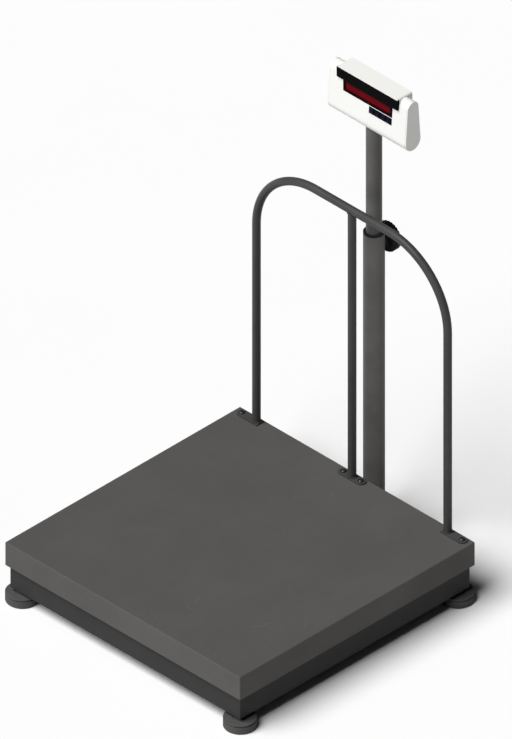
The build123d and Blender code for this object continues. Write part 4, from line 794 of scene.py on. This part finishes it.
# ---- clamp -------------------------------------------------------------------------------
def make_clamp():
    """The fluted hand knob, with a cap in its rear face and a steel hub before it."""
    low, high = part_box("clamp_knob")
    radius, depth = half_width(low, high), high.y - low.y
    x, _, z = middle(low, high)
    centre = Vector((x, low.y, z))
    flutes, flute_depth = 24, 1.5 * MM

    def fluted(size):
        def at(angle):
            wave = 0.5 + 0.5 * math.cos(flutes * angle)
            return size - flute_depth * wave ** 2.5
        return at
    hub, rounding, web = 10.0 * MM, 1.6 * MM, 0.2 * MM
    dish, hollow = 1.4 * MM, 0.9 * MM
    stack = [(hollow, 5.0 * MM), (hollow, hub - 1 * MM), (0, hub), (0, radius * 0.55),
             (1.6 * MM, radius * 0.66), (1.2 * MM, radius * 0.80), (web, radius - 3.4 * MM)]
    for part in (0.25, 0.6, 1.0):
        bend = part * math.pi / 2
        stack.append((rounding * (1 - math.cos(bend)) + web,
                      fluted(radius - rounding * (1 - math.sin(bend)))))
    for part in (0.0, 0.35, 0.7, 1.0):
        bend = part * math.pi / 2
        stack.append((depth - rounding * (1 - math.sin(bend)),
                      fluted(radius - rounding * (1 - math.cos(bend)))))
    stack += [(depth, radius * 0.80), (depth - dish, radius * 0.70),
              (depth - dish, radius * 0.44), (depth - web, radius * 0.42),
              (depth - web, radius * 0.36), (depth - hollow, radius * 0.34)]
    bm = bmesh.new()
    turned(bm, along(centre, BACKWARD), stack, flutes * 8)
    piece("clamp_hand_knob", bm, finishes["knob_plastic"], "clamp_knob", ["clamp_knob"])
    bm = bmesh.new()
    cap, cap_foot, cap_sunk, cap_dome = radius * 0.335, 2.4 * MM, 0.8 * MM, 0.75 * MM
    dome = [(-cap_foot, cap), (-cap_sunk, cap)]
    dome += [(-cap_sunk + cap_dome * math.sin(a), cap * math.cos(a))
             for a in (0.4, 0.8, 1.15, 1.45)]
    turned(bm, along((x, low.y + depth, z), BACKWARD), dome, 72)
    piece("clamp_knob_cap", bm, finishes["black_nylon"], "clamp_knob")
    bm = bmesh.new()
    screw_low, screw_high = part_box("clamp_screw")
    screw = half_width(screw_low, screw_high)
    threaded(bm, along((x, screw_high.y, z), FORWARD), screw, M8_PITCH,
             screw_high.y - screw_low.y)
    washer = 8.0 * MM
    turned(bm, along(centre, BACKWARD), [(0.05 * MM, screw + 0.1 * MM),
                                         (0.05 * MM, washer - 0.5 * MM),
                                         (0.3 * MM, washer), (2.5 * MM, washer)])
    piece("clamp_thread", bm, finishes["zinc_steel"], "clamp_knob", ["clamp_screw"])


# ---- head ----------------------------------------------------------------------------------
def cross_slot(size, arm):
    """The outline radius of a cross recess at an angle."""
    def radius(angle):
        off = (angle + TURN / 8) % (TURN / 4) - TURN / 8
        return min(size, arm / max(0.05, abs(math.sin(off))))
    return radius


def make_head_screws():
    """Screws with a cross recess from behind, and upright ones that hold the head's socket."""
    shank, shank_end, widest_head = 1.5 * MM, 1.3 * MM, 10.0 * MM
    bm = bmesh.new()
    for low, high in solids_of("head_screws"):
        x, y, z = middle(low, high)
        radius = half_width(low, high)
        if high.y - low.y < widest_head:  # this one stands upright
            turned(bm, along((x, y, low.z), UP),
                   [(0, radius * 0.9), (0.4 * MM, radius), (1.4 * MM, radius),
                    (2.0 * MM, shank), (high.z - low.z, shank)], 36)
            continue
        recess = cross_slot(radius * 0.62, 0.42 * MM)
        stack = [(2.2 * MM, 0.3 * MM), (1.6 * MM, recess), (0.1 * MM, recess),
                 (0, lambda angle: max(recess(angle) + 0.1 * MM, radius * 0.30)),
                 (0.05 * MM, radius * 0.8), (0.35 * MM, radius), (1.5 * MM, radius),
                 (2.4 * MM, shank), (high.y - low.y, shank_end)]
        turned(bm, along((x, high.y, z), FORWARD), stack, 72)
    piece("cross_screws", bm, finishes["zinc_steel"], "head", ["head_screws"])


def segment(width, length, upright):
    """One bar of a figure, with pointed ends."""
    half, reach = width / 2, length / 2
    shape = [(-reach, 0), (-reach + half, half), (reach - half, half),
             (reach, 0), (reach - half, -half), (-reach + half, -half)]
    return [(y, x) for x, y in reversed(shape)] if upright else shape


def make_figures():
    """The seven bars and the point on the face of each display figure."""
    lean = math.tan(math.radians(8))
    wide, tall = 6.4 * MM, 12.4 * MM
    bar, gap, thickness, edge = 1.5 * MM, 0.25 * MM, 0.12 * MM, 0.04 * MM
    spots = [(0, tall / 2, False), (0, 0, False), (0, -tall / 2, False)]
    spots += [(sx * wide / 2, sz * tall / 4, True) for sx in (-1, 1) for sz in (-1, 1)]
    facing = Matrix.Rotation(math.pi / 2, 4, "X")
    bm = bmesh.new()
    for low, high in solids_of("led_digits"):
        mid = middle(low, high)
        centre = Vector((mid.x, low.y, mid.z))
        for x, z, upright in spots:
            length = (tall / 2 if upright else wide) - gap
            outline = [(x + px + lean * (z + pz), z + pz)
                       for px, pz in segment(bar, length, upright)]
            slab(bm, Matrix.Translation(centre) @ facing, outline, thickness, edge)
        point = centre + Vector((wide / 2 + 2.3 * MM, 0, -tall / 2))
        turned(bm, along(point, FORWARD), [(0, 0.8 * MM), (0.1 * MM, 0.78 * MM)], 20)
    piece("display_figures", bm, segment_white, "head")


def make_rear_details():
    """The grip on the battery door, the inlet's pin and the marks on the rocker."""
    low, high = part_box("battery_door")
    rows, first, spacing = 6, 4.2 * MM, 1.9 * MM
    reach, half, thickness, edge = 9.0 * MM, 0.55 * MM, 0.55 * MM, 0.2 * MM
    bends = [math.pi * (step / 6 - 0.5) for step in range(7)]
    end = [(reach + half * math.cos(a), half * math.sin(a)) for a in bends]
    rib = end + [(-x, -y) for x, y in end]
    facing = Matrix.Rotation(-math.pi / 2, 4, "X")
    bm = bmesh.new()
    for row in range(rows):
        place = Vector((middle(low, high).x, high.y, high.z - first - row * spacing))
        slab(bm, Matrix.Translation(place) @ facing, rib, thickness, edge)
    piece("battery_door_grip", bm, finishes["head_plastic"], "head")

    low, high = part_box("power_inlet")
    x, _, z = middle(low, high)
    socket_depth, pin = 8.4 * MM, 1.0 * MM
    bm = bmesh.new()
    turned(bm, along((x, high.y - socket_depth, z), BACKWARD),
           [(0, pin), (6.6 * MM, pin), (7.2 * MM, 0.7 * pin), (7.4 * MM, 0.3 * pin)], 28)
    piece("inlet_pin", bm, chrome, "head")

    low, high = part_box("power_rocker")
    x, _, z = middle(low, high)
    off_middle, raised, long, half = 4.2 * MM, 0.08 * MM, 1.6 * MM, 0.35 * MM
    behind = high.y + 50 * MM
    bm = bmesh.new()
    point, normal = surface_point("power_rocker", (x, behind, z + off_middle), FORWARD)
    place = along(point, normal)
    own_y = place.to_3x3() @ Vector((0, 1, 0))
    wide, tall = (half, long) if abs(own_y.z) >= 0.5 else (long, half)
    slab(bm, place, [(-wide, -tall), (wide, -tall), (wide, tall), (-wide, tall)],
         raised, 0.02 * MM)
    point, normal = surface_point("power_rocker", (x, behind, z - off_middle), FORWARD)
    turned(bm, along(point, normal), [(0, 1.0 * MM), (raised, 1.02 * MM), (raised, 1.58 * MM),
                                      (0, 1.6 * MM)], 40, hollow=True)
    piece("rocker_marks", bm, mark_white, "power_rocker")


# ---- room ------------------------------------------------------------------------------------
def make_room():
    """A pale floor, a wide sun from the front and above, a faint sky, and the camera."""
    scene = bpy.context.scene
    bm = bmesh.new()
    bmesh.ops.create_grid(bm, x_segments=8, y_segments=8, size=FLOOR_REACH)
    mesh = bpy.data.meshes.new("floor")
    bm.to_mesh(mesh)
    bm.free()
    floor = bpy.data.objects.new("floor", mesh)
    scene.collection.objects.link(floor)
    surface = Recipe("floor_paint", Roughness=0.9, Specular_IOR_Level=0.1)
    surface.feed("Base Color", surface.blend(surface.noise(3.0), *FLOOR_TONES))
    mesh.materials.append(surface.material)

    sun = bpy.data.lights.new("key", "SUN")
    sun.energy = SUN_POWER
    sun.angle = SUN_SPREAD
    lamp = bpy.data.objects.new("key", sun)
    lamp.rotation_mode = "QUATERNION"
    lamp.rotation_quaternion = SUN_SIDE.to_track_quat("Z", "Y")
    scene.collection.objects.link(lamp)

    world = bpy.data.worlds.new("studio")
    world.use_nodes = True
    sky = world.node_tree.nodes["Background"]
    sky.inputs["Color"].default_value = (1.0, 1.0, 1.0, 1.0)
    sky.inputs["Strength"].default_value = SKY_POWER
    scene.world = world
    scene.view_settings.view_transform = "Standard"

    low, high = (Vector(corner) for corner in cad_box)
    lens = bpy.data.cameras.new("camera")
    lens.type = "ORTHO"
    lens.ortho_scale = VIEW_HEIGHT
    lens.clip_end = VIEW_DEPTH
    camera = bpy.data.objects.new("camera", lens)
    camera.rotation_mode = "QUATERNION"
    camera.rotation_quaternion = VIEW_SIDE.to_track_quat("Z", "Y")
    camera.location = VIEW_CENTRE + VIEW_SIDE * 3 * (high - low).length
    scene.collection.objects.link(camera)
    scene.camera = camera


dress_solids()
make_feet()
make_rail_fittings()
make_pillar_fittings()
make_clamp()
make_head_screws()
make_figures()
make_rear_details()
make_room()
